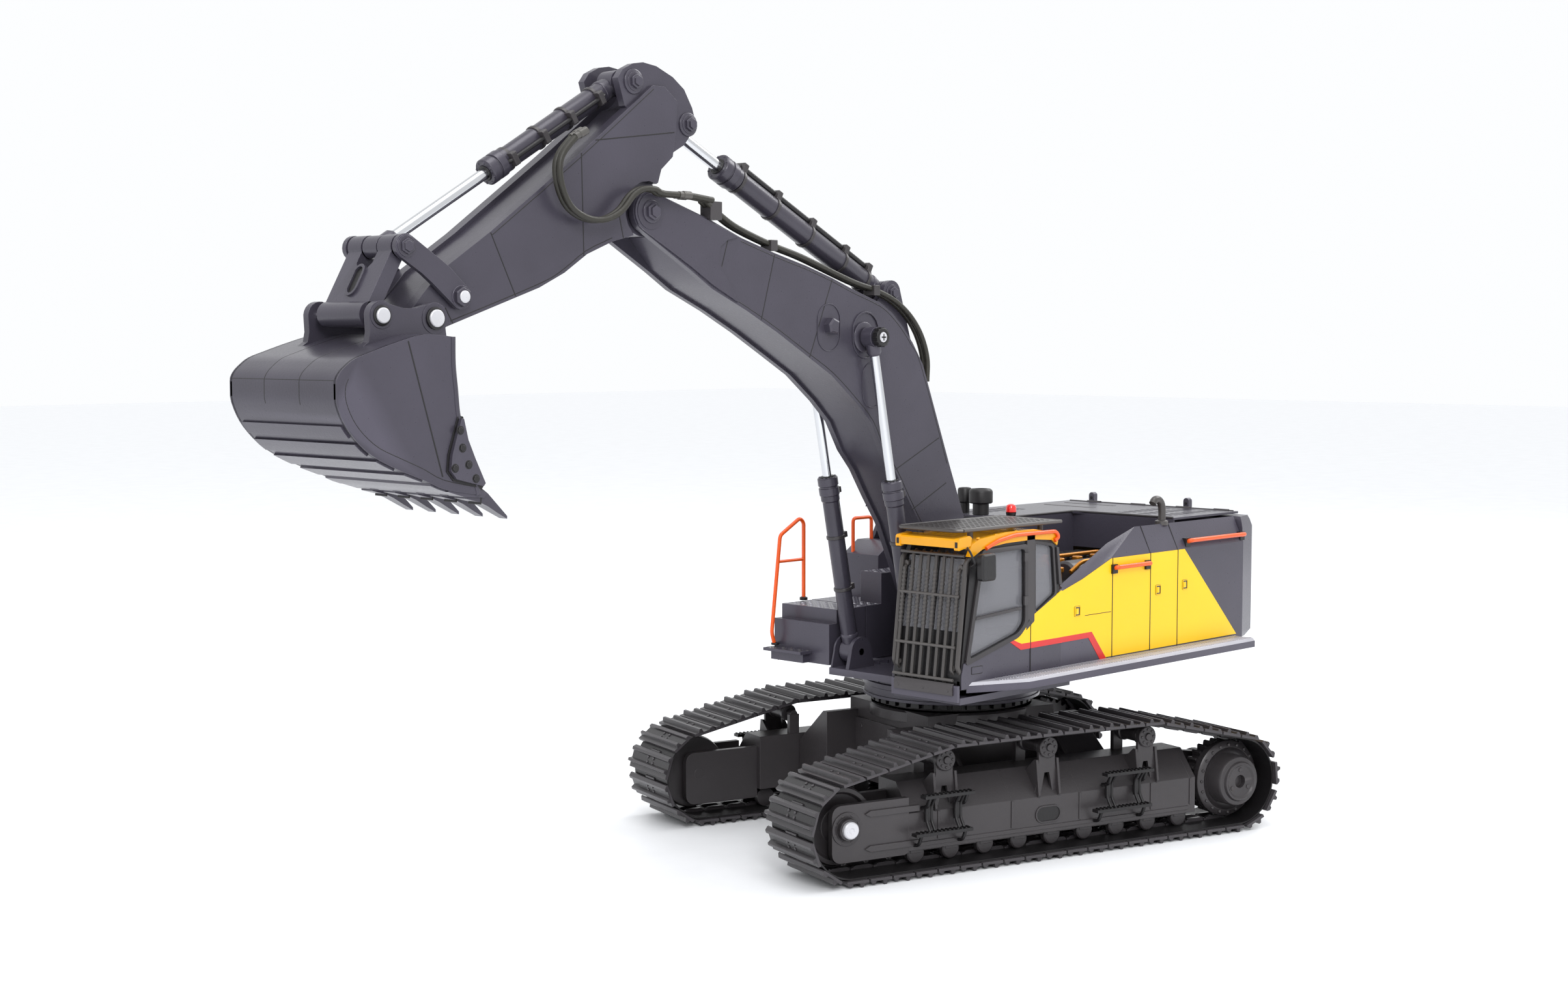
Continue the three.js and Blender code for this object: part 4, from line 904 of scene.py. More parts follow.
def left_cover():
    piece = Piece("left_cover_panel").use(SLATE)
    outer = [(-2.1, 88), (-2.1, 130), *COVER_FRONT, (-171.5, 144.4), (-171.5, 88)]
    piece.side_plate(outer, 69.4, 71.4)
    # The sloping shoulder between the side panel and the top
    piece.loft([[(-45.2, 71.3, 144.2), (-171.5, 71.3, 144.3), (-171.5, 69.0, 143.4), (-45.2, 69.0, 143.4)],
                [(-75, 64.6, 158.3), (-171.5, 64.6, 158.3), (-171.5, 62.6, 157), (-75, 62.6, 157)]])
    piece.loft([[(x, 71.3, z) for x, z in COVER_FRONT] + [(x, 69.6, z - 1.6) for x, z in COVER_FRONT[::-1]],
                [(x, 64.6, z) for x, z in COVER_INNER] + [(x, 63, z - 1.8) for x, z in COVER_INNER[::-1]]])
    piece.use(BLACK)
    piece.box((-171.4, -4), (62, 70), (88, 89.6))
    piece.box((-118, -2.2), (62, 64), (90, 130))
    # Colour fields
    yellow = [(-2.2, 130.0), *[(x, z - 0.3) for x, z in COVER_FRONT[1:]], (-112.8, 144.1), (-165.4, 92.2),
              (-40, 92), (-28.1, 106.4), (-2.2, 106.2)]
    stripe = [(-2.2, 106.5), (-28.1, 106.7), (-41, 91.4), (-35.4, 91.4), (-25.2, 103.8), (-2.2, 103.6)]
    piece.use(YELLOW).side_plate(yellow, 71.2, 71.4 + OVERLAY)
    piece.use(STRIPE).side_plate(stripe, 71.2, 71.4 + OVERLAY * 1.6)
    # Seams between the doors, up over the shoulder
    piece.use(BLACK)
    for x in (-46, -80.5, -106.3):
        piece.box((x - 0.28, x + 0.28), (71.0, 71.4 + OVERLAY * 2.2), (90, 144.2))
        if x < -75:
            a, b = x - 0.28, x + 0.28
            piece.loft([[(a, 71.5, 144), (b, 71.5, 144), (b, 70.6, 143.6), (a, 70.6, 143.6)],
                        [(a, 64.8, 158.5), (b, 64.8, 158.5), (b, 64, 157.8), (a, 64, 157.8)]])
    piece.box((-171.4, -4), (71.0, 71.5), (88.4, 89.0))
    piece.box((-45, -22), (71.0, 71.6), (115.6, 115.9))
    # Square latches, the same colour as the panel
    for x, z in ((-15.5, 118.6), (-87.9, 123.7), (-113.3, 124.5)):
        edge = softened(rect(x - 2.6, x + 2.6, z - 2.8, z + 2.8), 0.9)
        well = grown(edge, -0.55)
        piece.use(CLAMP).side_plate(edge, 71.3, 71.4 + OVERLAY * 2)
        piece.use(YELLOW)
        face = grown(edge, -0.15)
        piece.layers_y(((face, 71.4), (face, 71.95), (well, 71.95), (well, 71.6)))
        piece.side_plate(rect(x - 0.4, x + 1.6, z - 1.5, z + 1.5), 71.4, 72.1)
    # Handles on the shoulder
    grab_bar(piece, [(-46.9, 71.2, 138.4), (-46.9, 74.4, 139.2), (-77.1, 74.4, 139.2), (-77.1, 71.2, 138.4)], 1.2)
    grab_bar(piece, [(-116.7, 69.6, 147.6), (-116.7, 73, 148.6), (-171, 73, 148.6), (-171, 69.6, 147.6)], 1.2)
    # Swan-neck pipe on the top edge
    pipe = [(-103, 62.8, 158), (-103.4, 62.8, 164), (-102.6, 62.8, 168.6), (-100, 62.8, 171.2), (-96.4, 62.8, 171.4),
            (-94.4, 62.8, 169.4)]
    piece.use(GUN).tube(smooth_path(pipe, 5), 2.1, 16)
    piece.upright((-103, 62.8), [(157.4, 3.6), (159.6, 3.6), (160.1, 2.6)], 20)
    piece.done("upper", "left_cover", bevel=0.2, slot="yellow_paint")


def cab_colours():
    """The door's lower panel: the yellow field, the stripe and the slate paint below it."""
    piece = Piece("door_lower_panel").use(SLATE)
    piece.side_plate([(-1.6, 88.4), (78.2, 88.4), (78.2, 95), (76.6, 101), (34.6, 109.6), (28.4, 113.4), (21, 118),
                      (3.6, 127), (-1.6, 129)], 71.2, 71.9, 1)
    piece.use(YELLOW).side_plate([(-1.8, 106.2), (31.6, 106.0), (39.4, 108.6), (35.6, 111.4), (28.4, 115.8),
                                  (21, 120.6), (3.4, 128.6), (-1.8, 130.6)], 71.2, 72.05, 1)
    piece.use(STRIPE).side_plate([(-1.8, 103.6), (32.2, 103.4), (41.2, 108.4), (39.2, 109.4), (31.5, 106.5),
                                  (-1.8, 106.6)], 71.2, 72.15, 1)
    piece.use(BLACK)
    piece.box((24.0, 24.5), (71.2, 72.25), (89.4, 117.4))
    piece.side_plate([(25, 117.6), (34.5, 111.4), (75, 101.6), (75.2, 102.6), (34.9, 112.4), (25.4, 118.4)], 71.2, 72.3,
                     1)
    piece.side_plate(softened(rect(62, 71, 95, 99), 0.8), 71.2, 72.0)
    piece.use(SLATE).side_plate(softened(rect(62.4, 70.6, 95.4, 98.6), 0.6), 71.2, 72.2)
    piece.use(SLATE).box((-10, 78.4), (28.4, 71.2), (80.8, 84.2))
    piece.done("upper", bevel=0.12, slot="slate_paint")


def catwalk(name, node, sign, tip, front_out, rear, inner=71.4, outer=85.4):
    """A walkway with a slate rim and a bright tread of slanting strokes in two rows."""
    piece = Piece(name).use(SLATE)
    plan = [(tip, inner), (front_out, outer), (rear, outer), (rear, inner)]
    flat = [(x, sign * y) for x, y in plan]
    shoulder = [(tip - 2.6, inner), (front_out - 0.4, outer - 1.1), (rear + 0.6, outer - 1.1), (rear + 0.6, inner)]
    piece.plate_z(flat, 86.3, 89.9)
    piece.use(TREAD)
    piece.loft([[(x, y, 89.8) for x, y in flat], [(x, sign * y, 91.4) for x, y in shoulder]])
    middle = (inner + outer) / 2
    x = rear + 2.4
    while x < tip - 8:
        for y0, y1, lean in ((inner + 1.4, middle - 0.3, 1.3), (middle + 0.3, outer - 1.4, -1.3)):
            edge = tip - (y1 - inner) * (tip - front_out) / (outer - inner) - 3
            if x < edge:
                stroke = [(x - lean, y0), (x - lean + 0.95, y0), (x + lean + 0.95, y1), (x + lean, y1)]
                piece.plate_z([(a, sign * b) for a, b in stroke], 91.3, 91.8)
        x += 2.15
    piece.done("upper", node, bevel=0.12, slot="tread_plate", segments=1)


def tread_studs(piece, x, y, z, pitch=2.9):
    """Slanted lozenge studs on a flat tread, leaning one way and the other in turn."""
    nx = max(1, int((x[1] - x[0] - 2.4) / pitch))
    ny = max(1, int((y[1] - y[0] - 2.4) / pitch))
    for i in range(nx + 1):
        for j in range(ny + 1):
            cx = x[0] + 1.6 + (x[1] - x[0] - 3.2) * i / nx
            cy = y[0] + 1.6 + (y[1] - y[0] - 3.2) * j / ny
            lean = 0.75 if (i + j) % 2 else -0.75
            piece.plate_z([(cx - 0.95, cy - lean), (cx, cy - 0.25), (cx + 0.95, cy + lean), (cx, cy + 0.25)], z - 0.2,
                          z + 0.45)


def plan_box(piece, x, y, z, radius=1.2):
    piece.plate_z(softened([(x[0], y[0]), (x[1], y[0]), (x[1], y[1]), (x[0], y[1])], radius), *z)


def body_deck():
    """The deck, the boom's foot ears and the clevises of the boom cylinders."""
    piece = Piece("deck_plates").use(SLATE)
    deck = [(66, -27.9), (66, 27.9), (-2.1, 27.9), (-2.1, 71.1), (-171.5, 71.1), (-171.5, -71.1), (27.6, -71.1),
            (27.6, -27.9)]
    piece.plate_z(deck, 84, 87.7)
    ear = [(-15, 87.4), (23, 87.4), *arc(BOOM_FOOT, 11.8, 10, 170, 14)]
    clevis = [(45, 87.4), (65, 87.4), *arc(BOOM_CYLINDER_FOOT, 7.8, 0, 180, 14)]
    for sign in (1, -1):
        piece.side_plate(ear, 16.8, 20.4, sign)
        piece.turned(BOOM_FOOT, [(20.2, 8), (21, 8), (21.4, 7.4), (21.4, 3)], 32, sign)
        piece.side_plate(clevis, 14.9, 17.2, sign)
        piece.side_plate(clevis, 26.8, 27.9, sign)
        piece.use(STEEL).along((BOOM_FOOT[0], sign * 21, BOOM_FOOT[1]), (BOOM_FOOT[0], sign * 30, BOOM_FOOT[1]),
                               [(0, 4.4), (1.1, 4.4), (1.4, 3.7)], 6, 0.3)
        piece.use(SLATE)
        for x in (32, 39):
            piece.box((x, x + 1.4), *([(16, 27)] if sign > 0 else [(-27, -16)]), (87.4, 89.4))
    piece.turned(BOOM_FOOT, [(-20, 3.4), (20, 3.4)], 24)
    for sign in (1, -1):
        piece.use(STEEL).turned(BOOM_CYLINDER_FOOT, [(14.9, 1.9), (27.8, 1.9)], 20, sign)
    # Hose bundle from the deck up to the boom's foot
    piece.use(RUBBER)
    for k, y in enumerate((-9, -5.4, -1.8, 1.8, 5.4, 9)):
        line = [(-12 + k * 0.6, y, 88), (-13, y, 96), (-9.5, y, 103 + (k % 2) * 2), (-10.5, y * 0.9, 112)]
        piece.tube(smooth_path(line, 5), 1.2, 10)
    piece.use(DARK)
    for x in range(-160, 20, 30):
        for sign in (1, -1):
            piece.bolt((x, sign * 68, 84.3), (0, 0, -1), 1.4, 0.01)
    piece.done("upper", "upper_frame", bevel=0.3, slot="slate_paint")
    drum = Piece("slew_drum_ring").use(SLATE)
    drum.upright((0, 0), [(75, 44), (76, 47.2), (78.6, 47.2), (79, 46.2), (80.2, 46.2), (80.6, 47.2), (83.6, 47.2)],
                 72)
    # A skirt that hangs over the bearing ring
    for z0, z1, r0, r1 in ((70.6, 76, 44, 46.4), (70.6, 72.2, 44, 47.2)):
        rings = rect(z0, z1, r1, r0)
        drum.loft([[(r * math.cos(math.pi * i / 36), r * math.sin(math.pi * i / 36), z) for i in range(72)]
                   for z, r in rings], closed=True)
    for i in range(24):
        angle = 2 * math.pi * i / 24
        spot = (math.cos(angle) * 45.8, math.sin(angle) * 45.8)
        drum.along((spot[0], spot[1], 79.6), (spot[0] * 1.1, spot[1] * 1.1, 79.6), [(0, 0.5), (1.1, 0.5)], 6)
    drum.done("upper", "slew_drum", bevel=0.2, slot="dark_paint")


def right_cover():
    piece = Piece("right_cover_panel").use(YELLOW)
    piece.box((-171.5, -12.4), (-71.4, -69.2), (92, 144.4))
    piece.use(SLATE).box((-171.5, -12.4), (-71.5, -69), (88, 92.4))
    piece.loft([[(-12.4, -71.3, 144.2), (-171.5, -71.3, 144.2), (-171.5, -69.0, 143.4), (-12.4, -69.0, 143.4)],
                [(-12.4, -64.6, 158.3), (-171.5, -64.6, 158.3), (-171.5, -62.6, 157), (-12.4, -62.6, 157)]])
    piece.use(BLACK).box((-171.4, -13), (-70.6, -62), (88, 89.6))
    piece.use(STRIPE).side_plate([(-171.4, 104), (-96, 104), (-84, 92.4), (-78.6, 92.4), (-93.4, 107), (-171.4, 107)],
                                 71.3, 71.6, -1)
    for x in (-52.6, -92.2, -132):
        piece.use(BLACK).box((x - 0.28, x + 0.28), (-71.7, -71.0), (90, 143.8))
    for x, z in ((-44, 122), (-84, 122), (-124, 122)):
        edge = softened(rect(x - 2.6, x + 2.6, z - 2.8, z + 2.8), 0.9)
        piece.use(CLAMP).side_plate(edge, 71.3, 71.7, -1)
        piece.use(YELLOW).side_plate(grown(edge, -0.4), 71.3, 72.0, -1)
    grab_bar_right = [(-116.7, -69.6, 147.6), (-116.7, -73, 148.6), (-171, -73, 148.6), (-171, -69.6, 147.6)]
    piece.use(ORANGE).tube(grab_bar_right, 1.15, 12, bend=1.6)
    piece.use(BLACK)
    for x in (-116.7, -169.2):
        piece.box((x - 2.2, x + 2.2), (-71.4, -68.4), (145, 149.8))
    piece.done("upper", "right_cover", bevel=0.25, slot="yellow_paint")


def hood():
    piece = Piece("hood_panels").use(SLATE)
    slots = [softened(rect(-176 + i * 5.6, -173.8 + i * 5.6, 14 + j * 14, 23 + j * 14), 0.8, 2)
             for i in range(9) for j in range(3)]
    rear = [(-183.2, 60.3), (-183.2, 0), (-118.2, 0), (-118.2, 60.3)]
    holed_top(piece, rear, slots, 158.9, 160.2)
    rear_right = [(-183.2, 0.0), (-183.2, -60.3), (-25.3, -60.3), (-25.3, -8.2), (-116, -8.2), (-118.2, 0.0)]
    grate = [softened(rect(-110 + i * 6, -107.4 + i * 6, -52, -36), 0.9, 2)
             for i in range(8)]
    holed_top(piece, rear_right, grate, 158.9, 160.2)
    piece.box((-119.8, -118.2), (-38, 60), (140, 159))
    piece.box((-118.4, -25.2), (-9.8, -8.2), (120, 159))
    piece.box((-26.8, -25.2), (-60, -8.2), (100, 159))
    # Folded rims, hinge rods and a handle
    piece.use(DARK)
    piece.tube([(-118.6, 59.6, 160.1), (-118.6, 0, 160.1), (-117, -8.6, 160.1), (-26, -8.6, 160.1)], 0.7, 8, bend=3)
    piece.tube([(-181.6, -58, 160.1), (-181.6, 58, 160.1)], 0.7, 8)
    for y in (-40, -8, 24, 50):
        piece.along((-181.6, y - 5, 160.1), (-181.6, y + 5, 160.1), [(0, 1.05), (10, 1.05)], 12)
    for x in (-168, -148):
        piece.box((x, x + 3), (-50, -14), (159.9, 160.35))
    for x, y in ((-178, 55), (-178, 6), (-124, 55), (-124, 6), (-178, -55), (-100, -56), (-60, -56), (-32, -56),
                 (-32, -13), (-100, -13)):
        piece.use(STEEL).bolt((x, y, 160), (0, 0, 1), 1.0, 0.0)
    piece.done("upper", "engine_hood", bevel=0.2, slot="slate_paint")


def engine():
    """The engine seen through the open hood: a dark block with gilt pipes and filters on its top."""
    piece = Piece("engine_assembly").use(BLACK)
    plan_box(piece, (-111, -23), (-5, 57), (88, 131))
    plan_box(piece, (-107.6, -60.4), (2.4, 29.6), (131, 137), 2)
    for i in range(9):
        piece.box((-105 + i * 5.1, -102.6 + i * 5.1), (4, 28), (136.6, 139.8))
    piece.use(DARK)
    filter_can = [(0, 6.6), (1.2, 7.8), (12, 7.8), (12.6, 7.2), (14, 7.2), (14.6, 7.8), (48, 7.8), (48.6, 7.2),
                  (50, 7.2), (50.6, 7.8), (62.6, 7.8), (64, 6.4)]
    piece.along((-104, 44, 133), (-40, 44, 133), filter_can, 32)
    piece.along((-56, 8, 134), (-26, 8, 134), [(0, 7.2), (0.8, 7.9), (7, 7.9), (7.4, 7.2), (8.4, 7.2), (8.8, 7.9),
                                               (29, 7.9), (30, 7.0)], 32)
    piece.use(GOLD)
    for x in (-98, -82, -66, -50, -34):
        piece.upright((x, 33.6), [(130.6, 2.2), (138.5, 2.2), (138.8, 3.0), (140.6, 3.0), (141, 2.4)], 16)
    for y in (-2, 24, 38, 50):
        piece.upright((-28, y), [(130.6, 1.8), (136, 1.8), (136.4, 2.8), (138.6, 2.8), (139, 2.0)], 8)
    for y in (27, 53):
        piece.tube([(-104, y, 136), (-96, y, 141), (-44, y, 141), (-34, y, 136)], 1.2, 10, bend=4)
    piece.use(ORANGE)
    piece.tube([(-58, 20, 139), (-50, 24, 141.6), (-40, 30, 141), (-34, 40, 138)], 1.1, 10, bend=4)
    piece.done("upper", "engine_block", bevel=0.3, slot="bright_steel")


def ballast():
    piece = Piece("counterweight_block").use(SLATE)
    half = 70.4
    waves = [(-190 + 1.2 - 1.2 * math.cos(math.pi * i / 2), -half + 5 + (2 * half - 10) * i / 24) for i in range(25)]
    wave = [(p.x, p.y) for p in smooth_path([(x, y, 0) for x, y in waves], 3)]
    outline = [(-172.0, -half), *wave, (-172.0, half)]
    low = [(-172.2, -half + 3), *[(x + 3.5, y * 0.97) for x, y in wave], (-172.2, half - 3)]
    rings = ((low, 88.3), (outline, 92.5), (outline, 152), (grown(outline, -1.2), 156), (grown(outline, -2.2), 158))
    piece.loft([[(x, y, z) for x, y in line] for line, z in rings])
    for y in (-44, 24):
        piece.plate_x([(y - 1.9, 157), (y + 1.9, 157), *arc((y, 163.9), 1.9, 0, 180, 10)], -187.8, -184.2)
        piece.use(BLACK).along((-188, y, 162.6), (-184, y, 162.6), [(-0.05, 0.9), (4.1, 0.9)], 12)
        piece.use(SLATE)
    for y in (-56, 0, 56):
        for z in (104, 142):
            piece.use(STEEL).along((-184, y, z), (-192, y, z), [(2, 3.0), (5.0, 3.0), (5.4, 2.4)], 6)
    piece.use(BLACK)
    for z in (99, 128):
        piece.box((-189.4, -188.4), (-62, 62), (z, z + 0.8))
    piece.use(RED)
    for y in (-60, 60):
        piece.box((-189.3, -187), (y - 5, y + 5), (133, 138))
    piece.done("upper", "counterweight", bevel=0.5, slot="slate_paint")


def exhaust_stacks():
    piece = Piece("exhaust_stack_pair").use(BLACK)
    piece.upright((-45, -17), [(162, 4.5), (168, 4.5), (168.2, 6.0), (168.8, 6.6), (174.6, 6.6), (175.6, 6.2),
                               (176.3, 5.2), (176.3, 3.4), (172, 3.2)], 36)
    piece.upright((-48, -31), [(162, 2.7), (167.6, 2.7), (167.8, 3.5), (168.4, 3.95), (175, 3.95), (176, 3.4),
                               (176.2, 2.4), (173, 2.2)], 28)
    piece.use(SLATE)
    plan_box(piece, (-50, -40), (-34.4, -11), (160.75, 161.8), 1.5)
    for x, y in ((-48.5, -24), (-41.6, -24), (-41.4, -32.8), (-41.4, -12.6)):
        piece.use(STEEL).bolt((x, y, 161.7), (0, 0, 1), 0.9, 0.2)
    piece.done("upper", "exhausts", bevel=0.15, slot="bright_steel")


def beacon_light():
    piece = Piece("beacon_lamp").use(RED)
    piece.upright((-20, 24), [(166.9, 2.5), (167.2, 2.85), (169.6, 2.75), (170.8, 2.2), (171.4, 1.0)], 28)
    pole = [(132.4, 2.6), (134, 2.6), (134.4, 1.2), (164, 1.2), (165.2, 2.5), (166.9, 2.8)]
    piece.use(BLACK).upright((-20, 24), pole, 24)
    piece.done("upper", "beacon", bevel=0.1, slot="red_lens")


def steps_and_tools():
    piece = Piece("step_box_panels").use(SLATE)
    piece.plate_y([(34.5, 88), (62.8, 88), (62.8, 109.6), (57, 109.6), (57, 116.9), (34.5, 116.9)], -71.1, -30.9)
    piece.use(TREAD)
    tread_studs(piece, (36, 56.4), (-70.6, -31.6), 116.7)
    piece.use(SLATE)
    piece.box((62, 71.8), (-70.8, -43.2), (93, 94.6))
    piece.box((62.4, 67.8), (-68.8, -45.2), (88.2, 93.4))
    piece.use(DARK)
    tread_studs(piece, (62.6, 71.6), (-70.6, -43.4), 94.4)
    piece.done("upper", "step_box", bevel=0.3, slot="slate_paint")
    box = Piece("tool_box_panels").use(SLATE)
    box.plate_y(rect(-11.8, 33.8, 88, 117), -71.1, -45.2)
    box.plate_y([(-11.8, 88), (7.8, 88), (7.8, 140.8), (-3.1, 147.7), (-11.8, 147.7)], -71.1, -45.7)
    box.plate_y([(-11.8, 88), (33.8, 88), (33.8, 117), (21.8, 117), (21.8, 133.6), (-11.8, 133.6)], -45.9, -30.9)
    box.use(TREAD)
    tread_studs(box, (22.2, 33.6), (-45.4, -31.4), 116.7)
    tread_studs(box, (-11.4, 21.6), (-45.0, -31.4), 133.4)
    tread_studs(box, (8.6, 33.6), (-70.6, -46), 116.7)
    box.use(BLACK)
    for x in (-10.6, 32.4):
        box.box((x, x + 0.5), (-71.4, -70.9), (92, 114))
    box.box((-10.6, 33), (-71.4, -70.9), (91.5, 92.0))
    box.box((-10.6, 33), (-71.4, -70.9), (114, 114.5))
    box.use(CLAMP)
    for x in (0, 22):
        box.side_plate(softened(rect(x - 2.2, x + 2.2, 104, 108.6), 0.8), 71, 71.7, -1)
    rail = [(6, -66, 140), (6, -66, 160), (-9, -66, 160), (-9, -66, 146)]
    box.use(ORANGE).tube(rail, 1.0, 12, bend=2.4)
    box.done("upper", "tool_box", bevel=0.3, slot="slate_paint")
    rail = Piece("front_handrail_hoop").use(ORANGE)
    hoop = [(66, -68, 96), (68, -68, 102.3), (61.6, -68, 154), (46.4, -68, 162.4), (43.4, -68, 160), (43.4, -68, 118.2)]
    rail.tube(hoop, 1.05, 14, bend=2)
    rail.tube([(43.4, -68, 140), (63.2, -68, 140)], 0.85, 12)
    rail.use(BLACK).upright((43.4, -68), [(117.8, 2.2), (119.2, 2.2), (119.6, 1.4)], 16)
    rail.upright((65.4, -68), [(95.6, 2.2), (96.6, 2.2), (97, 1.4)], 16)
    rail.done("upper", "front_handrail", bevel=0.1, slot="orange_paint")


def upper_body():
    body_deck()
    cab()
    cab_colours()
    left_cover()
    right_cover()
    hood()
    engine()
    ballast()
    exhaust_stacks()
    beacon_light()
    steps_and_tools()
    catwalk("left_walkway", "catwalk_left", 1, 74, 42, -163)
    catwalk("right_walkway", "catwalk_right", -1, 60, 28, -163)


# ------------------------------------------------------------------ arm
BOOM_TOP = [(194, 314), (173, 306), (151, 299.6), (129, 294), (111, 288.6), (95, 283), (76, 277), (67, 272),
            (58.5, 265), (51, 257), (43, 246), (22, 195), (10, 167)]
BOOM_UNDER = [(34, 142), (44, 163), (54, 177), (64, 192), (73, 202), (82, 217), (94, 228), (111, 241), (129, 251),
              (149, 262), (170, 272.4), (192, 282), (205, 290)]
BOOM_HALF = 16.0
STICK_HALF = 15.5


def seam(piece, a, b, y, sign, width=0.55, proud=0.12):
    """A dark joint line on a side face."""
    piece.use(BLACK)
    ahead = Vector((b[0] - a[0], b[1] - a[1])).normalized() * (width / 2)
    across = (-ahead.y, ahead.x)
    line = [(a[0] + across[0], a[1] + across[1]), (a[0] - across[0], a[1] - across[1]),
            (b[0] - across[0], b[1] - across[1]), (b[0] + across[0], b[1] + across[1])]
    piece.side_plate(line, y - 0.3, y + proud, sign)
    piece.use(SLATE)


def edge_line(piece, line, y):
    """A thin dark panel line that runs close inside the edge of a side plate."""
    piece.use(BLACK).tube(smooth_path([(x, y, z) for x, z in line], 3), 0.28, 6)
    piece.use(SLATE)


def rim(piece, outline, y, sign, width=0.7, proud=0.5):
    """A raised rim round an outline on a side face."""
    cx = sum(p[0] for p in outline) / len(outline)
    cz = sum(p[1] for p in outline) / len(outline)
    inner = inset(outline, (cx, cz), width)
    piece.layers_y(((outline, y - 0.3), (outline, y + proud), (inner, y + proud), (inner, y - 0.3)), sign)


def hex_nut(piece, centre, start, sign, radius, reach=5.0):
    """A washer and a two-step hexagon nut on a side face."""
    piece.turned(centre, [(start - 0.3, radius * 1.3), (start + reach * 0.16, radius * 1.3),
                          (start + reach * 0.22, radius * 1.15)], 28, sign)
    piece.along((centre[0], sign * start, centre[1]), (centre[0], sign * (start + 30), centre[1]),
                [(0, radius), (reach * 0.6, radius), (reach * 0.68, radius * 0.86), (reach * 0.7, radius * 0.72),
                 (reach, radius * 0.7)], 6, 0.3)


def upright_pad(centre, half, height, steps=10):
    """The outline of a tall rounded slot."""
    x, z = centre
    return arc((x, z + height - half), half, 0, 180, steps) + arc((x, z - height + half), half, 180, 360, steps)


def boom():
    piece = Piece("boom_box").use(SLATE)
    foot = arc(BOOM_FOOT, 12, 175, 340, 14)
    nose = arc(STICK_PIVOT, 9.5, -65, 100, 14)
    neck = arc(STICK_PIVOT, 15.6, 222, 186, 6)
    side = BOOM_TOP + foot + BOOM_UNDER + nose
    middle = grown(BOOM_TOP + foot + BOOM_UNDER + neck, -1.3)
    piece.plate_y(middle, -12.8, 12.8)
    for sign in (1, -1):
        piece.side_plate(side, 12.6, BOOM_HALF, sign)
        for a, b in (((181, 307.8), (189, 283)), ((151, 299), (160, 268)), ((111, 288), (127, 250)),
                     ((64, 193), (30, 208)), ((51, 172), (24, 184.5))):
            seam(piece, a, b, BOOM_HALF, sign)
        # Doubler round the nose pivot, ending in two prongs
        doubler = [(176, 306.4), (196, 313.6), *arc(STICK_PIVOT, 9.2, 96, -62, 12), (205.6, 291.6), (192, 283.6),
                   (176, 276), (180.5, 283), (186, 290), (188.5, 296), (187.5, 301.6), (183, 304.6)]
        piece.side_plate(doubler, BOOM_HALF - 0.2, BOOM_HALF + 1.1, sign)
        slot = upright_pad((113.5, 264.5), 8.2, 11.8)
        rim(piece, slot, BOOM_HALF, sign, 0.5, 0.4)
        peg = [(110.4, 261), (116, 262.2), (117, 266), (114, 269.2), (109.6, 267.6)]
        piece.layers_y(((peg, BOOM_HALF - 0.3), (peg, BOOM_HALF + 3.6), (grown(peg, -1), BOOM_HALF + 4.4)), sign)
        rim(piece, upright_pad((82, 236), 7.2, 11.5), BOOM_HALF, sign, 0.5, 0.4)
        ring = upright_pad((BOOM_CYLINDER_TOP[0] - 1.5, BOOM_CYLINDER_TOP[1] + 1), 9.8, 11.8)
        rim(piece, ring, BOOM_HALF, sign, 0.8, 0.8)
        piece.turned(BOOM_CYLINDER_TOP, [(15.8, 7.6), (17.0, 7.6), (17.4, 7.0), (17.4, 4)], 36, sign)
        piece.turned(STICK_PIVOT, [(16.6, 8.0), (17.5, 8.0), (17.5, 4)], 32, sign)
        piece.turned(BOOM_FOOT, [(15.8, 8), (16.3, 8), (16.3, 4)], 32, sign)
        lug = [*arc(STICK_CYLINDER_FOOT, 6.5, 8, 172, 10), (45, 257), (77, 272.6)]
        piece.side_plate(lug, 6.4, 9.8, sign)
        hex_nut(piece, STICK_CYLINDER_FOOT, 9.7, sign, 3.4, 3.0)
        edge = grown(side, -1.6)
        under = len(BOOM_TOP) + len(foot)
        for line in (edge[1:len(BOOM_TOP) - 1], edge[under + 1:under + len(BOOM_UNDER) - 1]):
            edge_line(piece, line, sign * (BOOM_HALF - 0.1))
    piece.turned(STICK_CYLINDER_FOOT, [(-10, 2.2), (10, 2.2)], 20)
    piece.done("boom", "boom", bevel=0.5, slot="slate_paint")


STICK_TOP = [(228, 372), (270, 340), (320, 304), (346, 287)]
STICK_UNDER = [(341, 265), (294, 281), (280, 287.6), (267, 296), (252, 302), (240, 305)]
STICK_REAR = [(225, 329), (223, 335), (216, 341), (214, 352), (213, 366), (221, 372)]
HEAD = [(243, 362), (247, 374), (244, 378), (238, 381), (232, 382), (224, 381), (214, 377), (207, 372), (202, 364),
        (200, 358), (201, 354), (207, 347), (216, 342)]


